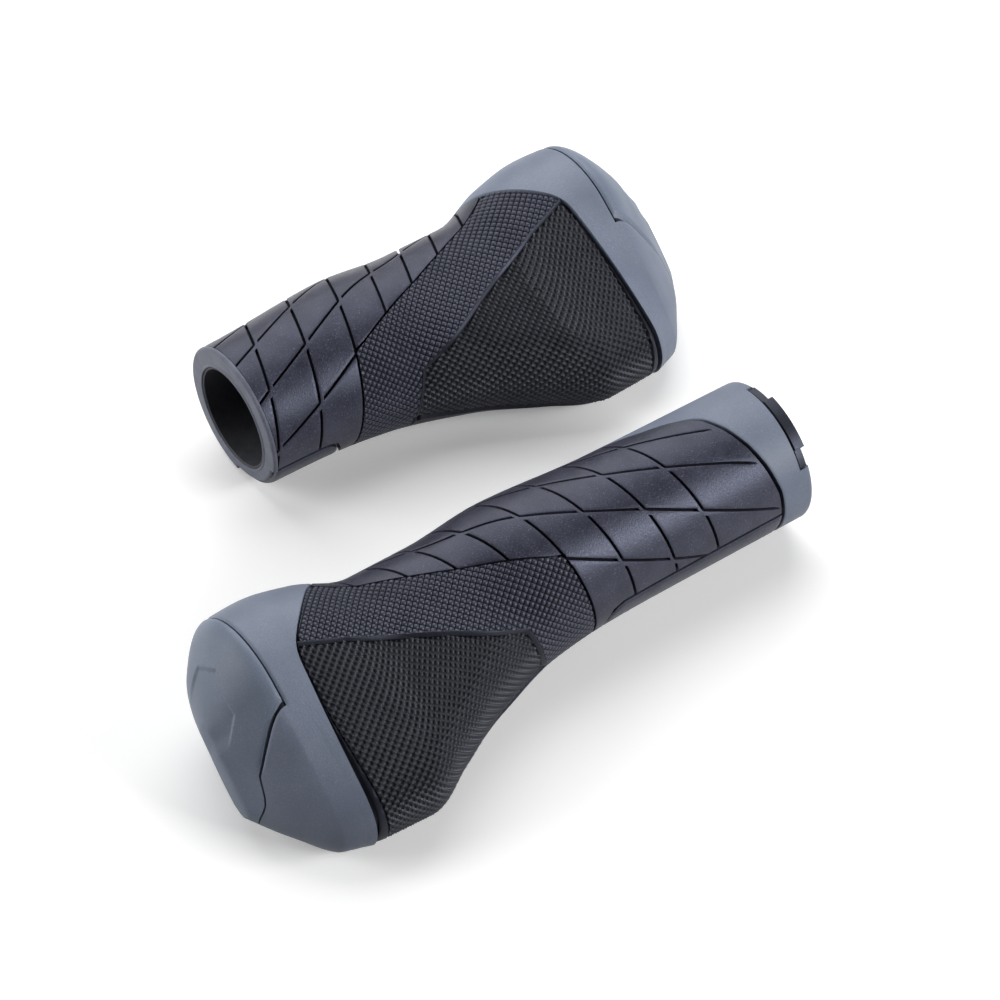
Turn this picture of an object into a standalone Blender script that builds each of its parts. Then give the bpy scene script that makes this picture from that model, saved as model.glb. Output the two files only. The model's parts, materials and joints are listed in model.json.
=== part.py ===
"""A pair of winged handlebar grips, one long and one short, lying side by side.

Each grip is drawn in its own frame: u runs along the bar from the outboard end, v points to the rear
(the way the palm wing reaches) and w points up, with the bar axis at v = w = 0.  Sizes are in millimetres.
The left grip runs along +X and the right grip is its mirror image, so it runs along -X.
"""
import math
from collections import namedtuple

import bmesh
import bpy
import numpy as np

MM = 0.001

# Fits and walls
BORE_RADIUS = 11.1          # for a 22.2 mm handlebar
CORE_WALL = 1.9
SLEEVE_WALL = 2.0
GAP = 0.35                  # between neighbouring pieces
CORE_GAP = 0.5              # between the core and what wraps it
TURN_GAP = 1.2              # the same gap as an angle about the bar, in degrees
TUBE_RADIUS = BORE_RADIUS + CORE_WALL + CORE_GAP + SLEEVE_WALL

# The pair on the floor
LONG_LENGTH = 136.0
SHORT_LENGTH = 103.0
PAIR_SPAN = 155.7           # outboard end to outboard end, along the bar
PAIR_PITCH = 73.2           # between the two bar axes
FLOOR_DROP = TUBE_RADIUS    # the underside is straight and lies on the floor

# Outer form: every section is the hull of a barrel circle and a wing tip circle
Form = namedtuple("Form", "station barrel forward barrel_lift tip reach tip_lift")
END_BARREL = 2.5
END_TIP = 2.5
DOME_BARREL = TUBE_RADIUS - 3.0
DOME_TIP = 5.5
SEAM_BARREL = TUBE_RADIUS + 2.2
SEAM_TIP = 8.0
SHOULDER_BARREL = TUBE_RADIUS + 2.1
SHOULDER_TIP = 10.0
WING_BARREL = TUBE_RADIUS + 1.3
WING_TIP = 11.0
WING_REACH = 24.6
NECK_BARREL = TUBE_RADIUS - 0.2
NECK_TIP = 12.4
ROOT_TIP = 13.2
SWELL_BARREL = TUBE_RADIUS + 1.0
SWELL_TIP = 11.5
WING_ROOT = 74.0
ROOT_BLEND = 1.5            # softens the valley where the wing runs out
FORM = (
    Form(0.0, END_BARREL, 0.0, FLOOR_DROP, END_TIP, 11.0, 5.0),
    Form(5.0, DOME_BARREL, 2.5, 4.0, DOME_TIP, 16.5, 2.5),
    Form(12.0, SEAM_BARREL, 3.6, 0.0, SEAM_TIP, 22.5, 0.0),
    Form(20.0, SHOULDER_BARREL, 4.2, 0.0, SHOULDER_TIP, WING_REACH, 0.0),
    Form(30.0, WING_BARREL, 3.5, 0.0, WING_TIP, WING_REACH, 0.0),
    Form(42.0, NECK_BARREL, 1.4, 0.0, NECK_TIP, 17.6, 0.0),
    Form(56.0, NECK_BARREL, 1.4, 0.0, ROOT_TIP, 9.4, 0.0),
    Form(WING_ROOT, SWELL_BARREL, 0.5, 0.0, SWELL_TIP, 4.0, 0.0),
    Form(100.0, TUBE_RADIUS + 0.3, 0.0, 0.0, SWELL_TIP, 0.0, 0.0),
    Form(LONG_LENGTH, TUBE_RADIUS, 0.0, 0.0, SWELL_TIP, 0.0, 0.0),
)

# Grey shoulder and end cap
SHOULDER_EDGE = 19.0        # where the grey ends on the palm side
SHOULDER_SWEEP = 18.0       # how much further it runs along the front and the underside
SWEEP_RISE = (76.0, 170.0)  # degrees about the bar, 0 rearward and 90 up
SWEEP_FALL = (285.0, 338.0)
END_WALL = 6.5
DOME_LENGTH = 14.0
DOME_SHARES = (0.0, 0.11, 0.23, 0.36, 0.57, 0.79, 1.0)
DOME_THICKEN = 1.5          # extra wall towards the middle of the dome
CAP_DEPTH = 12.2
CAP_REAR = 13.7             # rear cut of the cap, at the height of the bar axis
CAP_LEAN = 0.25
SEAM_GAP = 0.45
BAR_WALL = 1.6
PLUG_FIT = 0.5
PLUG_RADIUS = BORE_RADIUS - BAR_WALL - PLUG_FIT
PLUG_WALL = 1.8
PLUG_END = 30.0
PLUG_SINK = 0.5             # how far the plug's root is set into the end wall
RIB_HEIGHT = 0.4
RIB_FLANK = 0.8
RIB_STATIONS = (20.0, 26.0)

# Palm pad, gel pad and under strip
PAD_START = 22.0
PAD_END = 67.0
PAD_WALL = 1.8
PAD_LOW = -24.0
PAD_HIGH = 76.0
CREASE_START = 82.0         # angle of the crease at station CREASE_FROM
CREASE_FROM = 21.0
CREASE_PITCH = 1.46         # degrees for each millimetre
GEL_START = 27.0
GEL_END = 57.0
GEL_LOW = -12.0
GEL_INSET = 11.0            # degrees below the crease
GEL_DEPTH = 2.5
LONG_STRIP = 54.0           # along the lower edge, up to the inboard end
SHORT_STRIP = 21.0
STRIP_LOW = -90.0
STRIP_HIGH = -13.0
STRIP_SLANT = 6.0

# Grey collar and badge of the long grip
COLLAR_WIDTH = 8.0
COLLAR_EDGE = LONG_LENGTH - COLLAR_WIDTH
COLLAR_SWEEP = 36.0
COLLAR_RISE = (62.0, 180.0)
COLLAR_FALL = (180.0, 285.0)
COLLAR_ROUND = 1.6
BADGE_WIDTH = 2.2
BADGE_START = LONG_LENGTH - BADGE_WIDTH
BADGE_LOW = 25.0
BADGE_HIGH = 105.0
BLOCK_LOW = 40.0
BLOCK_HIGH = 86.0
BLOCK_PROUD = 2.0
BADGE_SINK = 0.5

# Clamp at the outboard end of the core
CORE_START = 13.0
CLAMP_START = 13.2
CLAMP_WIDTH = 8.8
CLAMP_MIDDLE = CLAMP_START + CLAMP_WIDTH / 2
CLAMP_FIT = 0.4
CLAMP_RADIUS = FLOOR_DROP - SLEEVE_WALL - CLAMP_FIT
EAR_LENGTH = 8.9
EAR_REACH = BORE_RADIUS + EAR_LENGTH
EAR_INSET = 0.2
EAR_TOP = 3.0
EAR_BOTTOM = -8.5
SLOT_TOP = -2.0
SLOT_WIDTH = 1.5
BOLT_OFFSET = 5.5           # from the bar's surface
BOLT_REACH = BORE_RADIUS + BOLT_OFFSET
BOLT_RADIUS = 2.0           # M4
BOLT_FIT = 0.3
BOLT_CHAMFER = 0.4
HEAD_RADIUS = 3.5
HEAD_HEIGHT = 3.5
SOCKET_FLATS = 3.0
SOCKET_DEPTH = 2.0
WASHER_RADIUS = 4.0
WASHER_HEIGHT = 0.8
ACCESS_RADIUS = WASHER_RADIUS + CLAMP_FIT

# Mesh fineness: the wing side is sampled closer than the front
WING_HALF_TURN = 72
WING_STEP = 8
FRONT_STEP = 13.5
CORE_RINGS = 12
TUBE_STEP = 12.0
ROUND_SEGMENTS = 28
BOLT_SEGMENTS = 16
THETAS = np.radians(
    np.concatenate(
        [
            np.arange(-WING_HALF_TURN, WING_HALF_TURN, WING_STEP),
            np.arange(WING_HALF_TURN, 360 - WING_HALF_TURN, FRONT_STEP),
        ]
    )
)
TANGENTS = np.radians(np.arange(0, 360, 3))
CUT_REACH = 40.0            # how far cutters run past what they cut
WINDOW_PAST = 0.8           # the same for windows through a curved wall


def spline(values):
    """Monotone cubic through one value per form station, as a function of u."""
    x = np.array([row.station for row in FORM])
    y = np.array(values)
    step = np.diff(y) / np.diff(x)
    slope = np.zeros(len(x))
    for i in range(1, len(x) - 1):
        if step[i - 1] * step[i] > 0:
            slope[i] = 2 * step[i - 1] * step[i] / (step[i - 1] + step[i])
    slope[0] = step[0]
    slope[-1] = step[-1]

    def at(u):
        i = np.clip(np.searchsorted(x, u) - 1, 0, len(x) - 2)
        h = x[i + 1] - x[i]
        t = np.clip((u - x[i]) / h, 0.0, 1.0)
        low = y[i] * (1 + 2 * t) * (1 - t) ** 2 + slope[i] * h * t * (1 - t) ** 2
        return low + y[i + 1] * t**2 * (3 - 2 * t) - slope[i + 1] * h * t**2 * (1 - t)

    return at


FORM_AT = {name: spline([getattr(row, name) for row in FORM]) for name in Form._fields[1:]}


def skin(u, theta, depth=0.0):
    """Radius about the bar axis of the outer form, taken in by depth square to the surface."""
    u, theta, depth = np.broadcast_arrays(np.asarray(u, float), theta, depth)
    f = {name: at(u)[..., None] for name, at in FORM_AT.items()}
    cos, sin = np.cos(TANGENTS), np.sin(TANGENTS)
    barrel = f["barrel"] - f["forward"] * cos + (f["barrel"] + f["barrel_lift"] - FLOOR_DROP) * sin
    tip = f["tip"] + f["reach"] * cos + (f["tip"] + f["tip_lift"] - FLOOR_DROP) * sin
    blend = ROOT_BLEND * np.maximum(cos, 0.05) ** 2
    support = np.maximum(barrel, tip) + blend * np.log1p(np.exp(-np.abs(barrel - tip) / blend))
    support = support - depth[..., None]
    facing = np.cos(theta[..., None] - TANGENTS)
    return np.where(facing > 0.15, support / np.maximum(facing, 0.15), 1e6).min(axis=-1)


def points(u, theta, depth=0.0):
    """Points of the form as an array of (u, v, w)."""
    u, theta, depth = np.broadcast_arrays(np.asarray(u, float), theta, depth)
    r = skin(u, theta, depth)
    return np.stack([u, r * np.cos(theta), r * np.sin(theta)], axis=-1)


def bump(theta, rise, fall):
    """0 on the palm side, 1 on the front and underside, by angle about the bar."""
    deg = np.degrees(theta) % 360
    up = np.clip((deg - rise[0]) / (rise[1] - rise[0]), 0, 1)
    down = np.clip((deg - fall[0]) / (fall[1] - fall[0]), 0, 1)
    return np.sin(up * math.pi / 2) * (0.5 + 0.5 * np.cos(down * math.pi))


def shoulder_edge(theta):
    return SHOULDER_EDGE + SHOULDER_SWEEP * bump(theta, SWEEP_RISE, SWEEP_FALL)


def collar_edge(theta):
    deg = np.degrees(theta) % 360
    rise = np.clip((deg - COLLAR_RISE[0]) / (COLLAR_RISE[1] - COLLAR_RISE[0]), 0, 1)
    rise = rise**2 * (3 - 2 * rise)
    fall = np.clip((deg - COLLAR_FALL[0]) / (COLLAR_FALL[1] - COLLAR_FALL[0]), 0, 1)
    return COLLAR_EDGE - COLLAR_SWEEP * rise * (0.5 + 0.5 * np.cos(fall * math.pi))


def crease(u):
    """Angle of the crease that tops the palm pad, in degrees."""
    return np.minimum(CREASE_START - CREASE_PITCH * (u - CREASE_FROM), PAD_HIGH)


class Grip:
    """Collects the pieces of one grip under an empty that lies on its bar axis."""

    def __init__(self, name, side, length, location):
        self.name = name
        self.side = side
        self.length = length
        self.frame = bpy.data.objects.new(name + "_grip", None)
        self.frame.location = [c * MM for c in location]
        bpy.context.scene.collection.objects.link(self.frame)

    def add(self, name, mesh, material=None, origin=(0.0, 0.0, 0.0)):
        """Make an object of (vertices, faces); without a material it is a cutter."""
        verts, faces = mesh
        local = np.asarray(verts, float) - origin
        data = bpy.data.meshes.new(self.name + "_" + name)
        data.from_pydata([(self.side * u * MM, -v * MM, w * MM) for u, v, w in local], [], faces)
        shape = bmesh.new()
        shape.from_mesh(data)
        bmesh.ops.recalc_face_normals(shape, faces=shape.faces)
        shape.to_mesh(data)
        shape.free()
        data.shade_smooth()
        data.set_sharp_from_angle(angle=math.radians(35))
        obj = bpy.data.objects.new(self.name + "_" + name, data)
        obj.parent = self.frame
        obj.location = (self.side * origin[0] * MM, -origin[1] * MM, origin[2] * MM)
        bpy.context.scene.collection.objects.link(obj)
        if material:
            data.materials.append(material)
        else:
            obj.hide_render = True
            obj.display_type = "WIRE"
        return obj


def cut(obj, tool, operation="DIFFERENCE"):
    mod = obj.modifiers.new(operation.lower() + "_" + tool.name, "BOOLEAN")
    mod.operation = operation
    mod.solver = "EXACT"
    mod.object = tool


def quads(rows, closed):
    """Faces over a grid of rows; each row holds the vertex numbers of one ring or line."""
    faces = []
    count = len(rows[0])
    for low, high in zip(rows, rows[1:]):
        for j in range(count if closed else count - 1):
            k = (j + 1) % count
            faces.append((low[j], low[k], high[k], high[j]))
    return faces


def tube(outer, inner, end_closed=False):
    """Closed wall between two stacks of rings; end_closed roofs the first rings instead of joining them."""
    stack = list(outer) + list(inner)[::-1]
    count = len(stack[0])
    verts = np.concatenate(stack)
    rows = [list(range(i * count, (i + 1) * count)) for i in range(len(stack))]
    if end_closed:
        return verts, quads(rows, True) + [tuple(rows[0]), tuple(rows[-1])]
    return verts, quads(rows + rows[:1], True)


def slab(outer, inner):
    """Closed body between two grids of points of the same shape."""
    n, m = outer.shape[:2]
    verts = np.concatenate([outer.reshape(-1, 3), inner.reshape(-1, 3)])
    top = np.arange(n * m).reshape(n, m)
    low = top + n * m
    faces = quads(top.tolist(), False) + quads(low.tolist(), False)
    for edge in (np.s_[0, :], np.s_[-1, :], np.s_[:, 0], np.s_[:, -1]):
        faces += quads([top[edge].tolist(), low[edge].tolist()], False)
    return verts, faces


def lathe(profile, segments, across=False, centre=(0.0, 0.0)):
    """Revolve (radius, position) points, about the bar, or upright at (u, v) when across is set."""
    turn = np.arange(segments) * 2 * math.pi / segments
    rings = []
    for radius, at in profile:
        x, y = radius * np.cos(turn), radius * np.sin(turn)
        flat = np.full(segments, at)
        if across:
            rings.append(np.stack([centre[0] + x, centre[1] + y, flat], axis=-1))
        else:
            rings.append(np.stack([flat, centre[0] + x, centre[1] + y], axis=-1))
    return rings


def solid(rings):
    """Close a stack of rings at both ends."""
    count = len(rings[0])
    rows = [list(range(i * count, (i + 1) * count)) for i in range(len(rings))]
    return np.concatenate(rings), quads(rows, True) + [tuple(rows[0]), tuple(rows[-1])]


def ring(rings):
    """Join a closed loop of rings."""
    count = len(rings[0])
    rows = [list(range(i * count, (i + 1) * count)) for i in range(len(rings))]
    return np.concatenate(rings), quads(rows + rows[:1], True)


def prism(outline, start, end):
    """Body with a (v, w) outline, from u = start to u = end."""
    rings = [np.array([(u, v, w) for v, w in outline]) for u in (start, end)]
    return solid(rings)


def box(v, w, start, end):
    return prism([(v[0], w[0]), (v[1], w[0]), (v[1], w[1]), (v[0], w[1])], start, end)


def fixed(value):
    """A patch edge that stays at one station or angle."""
    return lambda _: value


def patch(start, end, low, high, depths, counts, margin=0.0, turn=0.0):
    """Slab under the skin; start and end are stations by angle in degrees, high is an angle by station."""
    s = np.linspace(0, 1, counts[0] + 1)[:, None]
    t = np.linspace(0, 1, counts[1] + 1)[None, :]
    deg = low + 0 * t
    for _ in range(4):
        u = start(deg) - margin + s * (end(deg) - start(deg) + 2 * margin)
        deg = low - turn + t * (high(u) - low + 2 * turn)
    theta = np.radians(deg)
    return slab(points(u, theta, depths[0]), points(u, theta, depths[1]))


def rings_between(start, end, shares, depth):
    """Rings of the form between two edges that may vary round the bar."""
    return [points(start + (end - start) * share, THETAS, depth) for share in shares]


def end_shell():
    """Grey outboard end as one wall, before the cap is parted from it."""
    edge = shoulder_edge(THETAS)
    dome = [points(DOME_LENGTH * share, THETAS) for share in DOME_SHARES]
    rim = rings_between(DOME_LENGTH, edge, (0.35, 0.7, 1.0), 0.0)
    inside = []
    for u in np.linspace(END_WALL, DOME_LENGTH, 4)[:-1]:
        share = u / DOME_LENGTH
        depth = SLEEVE_WALL * (0.6 + 0.4 * share)
        behind = points(u - DOME_THICKEN * (1 - share), THETAS, depth)
        behind[:, 0] = u
        inside.append(behind)
    inside += rings_between(DOME_LENGTH, edge, (0.0, 0.35, 0.7, 1.0), SLEEVE_WALL)
    return tube(dome + rim, inside, end_closed=True)


def cap_block(margin):
    """Region of the end that belongs to the cap."""
    rear = CAP_REAR + margin
    lean = CAP_LEAN * CUT_REACH
    low, high = -CUT_REACH, CUT_REACH
    outline = [(low, low), (rear + lean, low), (rear - lean, high), (low, high)]
    return prism(outline, low, CAP_DEPTH + margin)


def plug():
    """Hollow plug that pushes into the bar, with low ribs."""
    root = END_WALL - PLUG_SINK
    inner = PLUG_RADIUS - PLUG_WALL
    profile = [(inner, root), (PLUG_RADIUS, root)]
    for at in RIB_STATIONS:
        top = PLUG_RADIUS + RIB_HEIGHT
        profile += [(PLUG_RADIUS, at - RIB_FLANK), (top, at), (PLUG_RADIUS, at + RIB_FLANK)]
    profile += [(PLUG_RADIUS, PLUG_END), (inner, PLUG_END)]
    return ring(lathe(profile, ROUND_SEGMENTS))


def palm_patch(depths, margin=0.0, turn=0.0):
    return patch(fixed(PAD_START), fixed(PAD_END), PAD_LOW, crease, depths, (10, 15), margin, turn)


def gel_high(u):
    return crease(u) - GEL_INSET


def gel_patch(depths, margin=0.0, turn=0.0):
    return patch(fixed(GEL_START), fixed(GEL_END), GEL_LOW, gel_high, depths, (5, 5), margin, turn)


def slanted(start):
    """A patch edge that slants inboard from the strip's lower edge to its upper one."""
    return lambda deg: start + STRIP_SLANT * (deg - STRIP_LOW) / (STRIP_HIGH - STRIP_LOW)


def strip_end_at_collar(deg):
    return collar_edge(np.radians(deg)) - SEAM_GAP


def strip_patch(start, end, depths, margin=0.0, turn=0.0):
    return patch(slanted(start), end, STRIP_LOW, fixed(STRIP_HIGH), depths, (5, 6), margin, turn)


def core_body(length):
    wing = np.linspace(CORE_START, WING_ROOT, CORE_RINGS)
    tube_part = np.arange(WING_ROOT + TUBE_STEP, length - TUBE_STEP / 2, TUBE_STEP)
    stations = np.concatenate([wing, tube_part, [length]])
    outer = [points(u, THETAS, SLEEVE_WALL + CORE_GAP) for u in stations]
    bore = []
    for u in (CORE_START, length):
        flat = np.full(len(THETAS), u)
        bore.append(np.stack([flat, BORE_RADIUS * np.cos(THETAS), BORE_RADIUS * np.sin(THETAS)], axis=-1))
    return tube(outer, bore)


def sleeve_body(end):
    start = shoulder_edge(THETAS) + SEAM_GAP
    wing = (WING_ROOT - start.min()) / (end.max() - start.min())
    shares = np.concatenate([np.linspace(0, wing, 10)[:-1], np.linspace(wing, 1, 6)])
    return tube(
        rings_between(start, end, shares, 0.0),
        rings_between(start, end, shares, SLEEVE_WALL),
    )


def collar_body():
    edge = collar_edge(THETAS)
    flank = LONG_LENGTH - COLLAR_ROUND
    outer = rings_between(edge, flank, (0.0, 0.5, 1.0), 0.0)
    for part in (30, 60, 90):
        turn = math.radians(part)
        u = flank + COLLAR_ROUND * math.sin(turn)
        outer.append(points(u, THETAS, COLLAR_ROUND * (1 - math.cos(turn))))
    inner = rings_between(edge, flank, (0.0, 0.5, 1.0), SLEEVE_WALL)
    inner.append(points(LONG_LENGTH, THETAS, SLEEVE_WALL))
    return tube(outer, inner)


def badge_arc(depths, end, span, margin=0.0, turn=0.0):
    return patch(fixed(BADGE_START), fixed(end), span[0], fixed(span[1]), depths, (1, 8), margin, turn)


def bolt_body():
    """Socket bolt, head down, with its threads left smooth."""
    top = EAR_TOP - BOLT_FIT
    head_top = EAR_BOTTOM - WASHER_HEIGHT - 2 * BOLT_FIT
    low = head_top - HEAD_HEIGHT
    ease = BOLT_CHAMFER
    profile = [(HEAD_RADIUS - ease, low), (HEAD_RADIUS, low + ease), (HEAD_RADIUS, head_top)]
    profile += [(BOLT_RADIUS, head_top), (BOLT_RADIUS, top - ease), (BOLT_RADIUS - ease, top)]
    return solid(lathe(profile, BOLT_SEGMENTS, True, (CLAMP_MIDDLE, BOLT_REACH))), low


def build_grip(grip, paint, long):
    """Model every piece of one grip, from the inside out."""
    length = grip.length
    sleeve_end = collar_edge(THETAS) - SEAM_GAP if long else np.full(len(THETAS), length)
    strip_start = length - (LONG_STRIP if long else SHORT_STRIP)
    strip_end = strip_end_at_collar if long else fixed(length)
    under_sleeve = SLEEVE_WALL + CORE_GAP
    upright = (CLAMP_MIDDLE, BOLT_REACH)

    core = grip.add("core", core_body(length), paint["nylon"])
    clamp_end = CLAMP_START + CLAMP_WIDTH + GAP
    wide = CLAMP_RADIUS + CLAMP_FIT
    room = lathe([(wide, -CUT_REACH), (wide, clamp_end)], ROUND_SEGMENTS)
    cut(core, grip.add("clamp_room", solid(room)))
    ears_high = (EAR_BOTTOM - GAP, EAR_TOP + CLAMP_FIT)
    ears_room = box((0.0, EAR_REACH + CLAMP_FIT), ears_high, -CUT_REACH, clamp_end)
    cut(core, grip.add("ears_room", ears_room))
    well = [(ACCESS_RADIUS, -CUT_REACH), (ACCESS_RADIUS, EAR_BOTTOM + WASHER_HEIGHT)]
    access = grip.add("bolt_access", solid(lathe(well, BOLT_SEGMENTS, True, upright)))
    cut(core, access)
    gel_floor = under_sleeve + GEL_DEPTH
    cut(core, grip.add("gel_room", gel_patch((0.0, gel_floor + GAP), GAP, TURN_GAP)))

    grip.add("gel_pad", gel_patch((under_sleeve, gel_floor)), paint["gel"])

    sleeve = grip.add("sleeve", sleeve_body(sleeve_end), paint["black_rubber"])
    through = (-WINDOW_PAST, SLEEVE_WALL + 2 * WINDOW_PAST)
    cut(sleeve, grip.add("palm_window", palm_patch(through, GAP, TURN_GAP)))
    strip_window = strip_patch(strip_start, fixed(length + CUT_REACH), through, GAP, TURN_GAP)
    cut(sleeve, grip.add("strip_window", strip_window))
    cut(sleeve, access)

    grip.add("palm_pad", palm_patch((0.0, PAD_WALL)), paint["palm_rubber"])
    strip = strip_patch(strip_start, strip_end, (0.0, SLEEVE_WALL))
    grip.add("under_strip", strip, paint["strip_rubber"])

    shoulder = grip.add("shoulder", end_shell(), paint["grey_rubber"])
    cut(shoulder, grip.add("cap_opening", cap_block(SEAM_GAP)))
    cut(shoulder, access)

    cap = grip.add("end_cap", end_shell(), paint["grey_plastic"])
    cut(cap, grip.add("cap_part", cap_block(0.0)), "INTERSECT")
    cut(cap, grip.add("cap_plug", plug()), "UNION")

    disc = lathe([(CLAMP_RADIUS, CLAMP_START), (CLAMP_RADIUS, CLAMP_START + CLAMP_WIDTH)], ROUND_SEGMENTS)
    clamp = grip.add("clamp_ring", solid(disc), paint["aluminium"])
    ears_span = (CLAMP_START + EAR_INSET, CLAMP_START + CLAMP_WIDTH - EAR_INSET)
    ears = box((0.0, EAR_REACH), (EAR_BOTTOM, EAR_TOP), *ears_span)
    cut(clamp, grip.add("clamp_ears", ears), "UNION")
    bar = lathe([(BORE_RADIUS, -CUT_REACH), (BORE_RADIUS, CUT_REACH)], ROUND_SEGMENTS)
    cut(clamp, grip.add("clamp_bore", solid(bar)))
    slot = box((0.0, CUT_REACH), (SLOT_TOP - SLOT_WIDTH, SLOT_TOP), -CUT_REACH, CUT_REACH)
    cut(clamp, grip.add("clamp_slot", slot))
    clear = BOLT_RADIUS + BOLT_FIT
    hole = lathe([(clear, -CUT_REACH), (clear, CUT_REACH)], BOLT_SEGMENTS, True, upright)
    cut(clamp, grip.add("bolt_hole", solid(hole)))

    bolt_mesh, head_low = bolt_body()
    bolt = grip.add("clamp_bolt", bolt_mesh, paint["steel"], (*upright, head_low))
    across_corners = SOCKET_FLATS / 2 / math.cos(math.radians(30))
    socket = [(across_corners, head_low - SOCKET_DEPTH), (across_corners, head_low + SOCKET_DEPTH)]
    cut(bolt, grip.add("bolt_socket", solid(lathe(socket, 6, True, upright))))

    high = EAR_BOTTOM - BOLT_FIT
    low = high - WASHER_HEIGHT
    profile = [(clear, low), (WASHER_RADIUS, low), (WASHER_RADIUS, high), (clear, high)]
    washer = ring(lathe(profile, BOLT_SEGMENTS, True, upright))
    grip.add("clamp_washer", washer, paint["steel"], (*upright, low))

    if long:
        collar = grip.add("collar", collar_body(), paint["grey_rubber"])
        window = badge_arc(through, length + CUT_REACH, (BADGE_LOW, BADGE_HIGH), GAP, TURN_GAP)
        cut(collar, grip.add("badge_room", window))
        band = badge_arc((BADGE_SINK, SLEEVE_WALL), length - BADGE_SINK, (BADGE_LOW, BADGE_HIGH))
        badge = grip.add("badge", band, paint["badge"])
        block = badge_arc((0.0, SLEEVE_WALL - BADGE_SINK), length + BLOCK_PROUD, (BLOCK_LOW, BLOCK_HIGH))
        cut(badge, grip.add("badge_block", block), "UNION")


def material(name, colour, roughness, metallic=0.0):
    mat = bpy.data.materials.new(name)
    mat.use_nodes = True
    shader = mat.node_tree.nodes["Principled BSDF"]
    shader.inputs["Base Color"].default_value = (*colour, 1.0)
    shader.inputs["Roughness"].default_value = roughness
    shader.inputs["Metallic"].default_value = metallic
    return mat


def main():
    for obj in list(bpy.data.objects):
        bpy.data.objects.remove(obj, do_unlink=True)
    paint = {
        "nylon": material("black_nylon", (0.03, 0.03, 0.03), 0.5),
        "gel": material("clear_gel", (0.25, 0.27, 0.30), 0.3),
        "black_rubber": material("black_rubber", (0.035, 0.035, 0.042), 0.6),
        "palm_rubber": material("palm_rubber", (0.012, 0.012, 0.014), 0.8),
        "strip_rubber": material("strip_rubber", (0.04, 0.04, 0.045), 0.6),
        "grey_rubber": material("grey_rubber", (0.19, 0.22, 0.27), 0.55),
        "grey_plastic": material("grey_plastic", (0.21, 0.24, 0.29), 0.45),
        "aluminium": material("aluminium", (0.75, 0.76, 0.78), 0.35, 1.0),
        "steel": material("black_steel", (0.1, 0.1, 0.1), 0.4, 1.0),
        "badge": material("badge_plastic", (0.02, 0.02, 0.022), 0.5),
    }
    form = points(np.arange(0.0, LONG_LENGTH, 1.0)[:, None], THETAS)
    rear, front = form[..., 1].max(), -form[..., 1].min()
    left_y = (rear - front - PAIR_PITCH) / 2
    left = Grip("left", 1, LONG_LENGTH, (-PAIR_SPAN / 2, left_y, FLOOR_DROP))
    right = Grip("right", -1, SHORT_LENGTH, (PAIR_SPAN / 2, left_y + PAIR_PITCH, FLOOR_DROP))
    build_grip(left, paint, True)
    build_grip(right, paint, False)


main()
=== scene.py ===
# %% [markdown]
# # A pair of winged handlebar grips
# Two rubber grips lie side by side: a long one for the left hand and a short one for the right hand,
# which leaves room for a twist shifter. Each has a grey outboard end with a pull-off cap, a wing that
# carries the palm, and a black sleeve with three moulded textures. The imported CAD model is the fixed
# frame: it says where everything is, and the pieces made here stand in for its plain solids.

# %% Load the frame
import json
import math

import bpy
import numpy as np
from mathutils import Matrix, Vector


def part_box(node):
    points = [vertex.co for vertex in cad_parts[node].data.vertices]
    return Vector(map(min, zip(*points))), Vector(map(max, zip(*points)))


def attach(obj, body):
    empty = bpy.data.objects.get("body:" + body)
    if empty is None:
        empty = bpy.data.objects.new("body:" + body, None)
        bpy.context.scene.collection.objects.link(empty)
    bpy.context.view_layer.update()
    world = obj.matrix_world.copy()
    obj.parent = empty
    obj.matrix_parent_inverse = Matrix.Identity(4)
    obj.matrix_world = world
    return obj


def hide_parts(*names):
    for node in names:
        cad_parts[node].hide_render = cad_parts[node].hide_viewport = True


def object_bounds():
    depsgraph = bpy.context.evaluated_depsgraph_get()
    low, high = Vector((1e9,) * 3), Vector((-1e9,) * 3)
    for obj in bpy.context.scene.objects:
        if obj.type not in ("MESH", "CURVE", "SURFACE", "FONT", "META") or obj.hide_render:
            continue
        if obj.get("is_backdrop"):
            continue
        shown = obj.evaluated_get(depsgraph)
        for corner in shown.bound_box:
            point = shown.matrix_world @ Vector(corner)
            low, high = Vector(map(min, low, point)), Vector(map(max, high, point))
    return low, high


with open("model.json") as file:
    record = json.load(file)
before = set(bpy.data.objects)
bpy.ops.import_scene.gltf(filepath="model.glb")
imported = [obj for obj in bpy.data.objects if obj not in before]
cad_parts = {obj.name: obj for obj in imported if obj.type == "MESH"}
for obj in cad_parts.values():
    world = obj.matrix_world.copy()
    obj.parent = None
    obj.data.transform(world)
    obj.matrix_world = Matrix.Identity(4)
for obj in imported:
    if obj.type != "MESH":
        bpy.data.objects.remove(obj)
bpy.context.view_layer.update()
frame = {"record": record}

MM = 0.001

# %% [markdown]
# ## Where each grip lies
# All shapes below are drawn once, in the grip's own millimetres: u runs along the bar from the outboard
# end, v points to the rear, the way the wing reaches, and w points up. The bar's axis and the outboard
# end of each grip are read from the frame, so nothing here is placed by eye.

# %% Read the bar axes
SIGN = {"left": 1, "right": -1}


def outboard_end(side):
    """The point (x, y, z) in millimetres where a grip's own axes start."""
    openings = frame["record"]["physics"]["openings"]
    low, high = next(o["box_m"] for o in openings if o["name"] == side + "_bore")
    cap_low, cap_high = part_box(side + "_end_cap")
    x = cap_low.x if side == "left" else cap_high.x
    return np.array([x, (low[1] + high[1]) / 2, (low[2] + high[2]) / 2]) / MM


START = {side: outboard_end(side) for side in SIGN}
LENGTH = {
    "left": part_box("left_collar")[1].x / MM - START["left"][0],
    "right": START["right"][0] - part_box("right_core")[0].x / MM,
}
print("grip lengths, mm:", {side: round(LENGTH[side], 2) for side in LENGTH})

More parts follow.
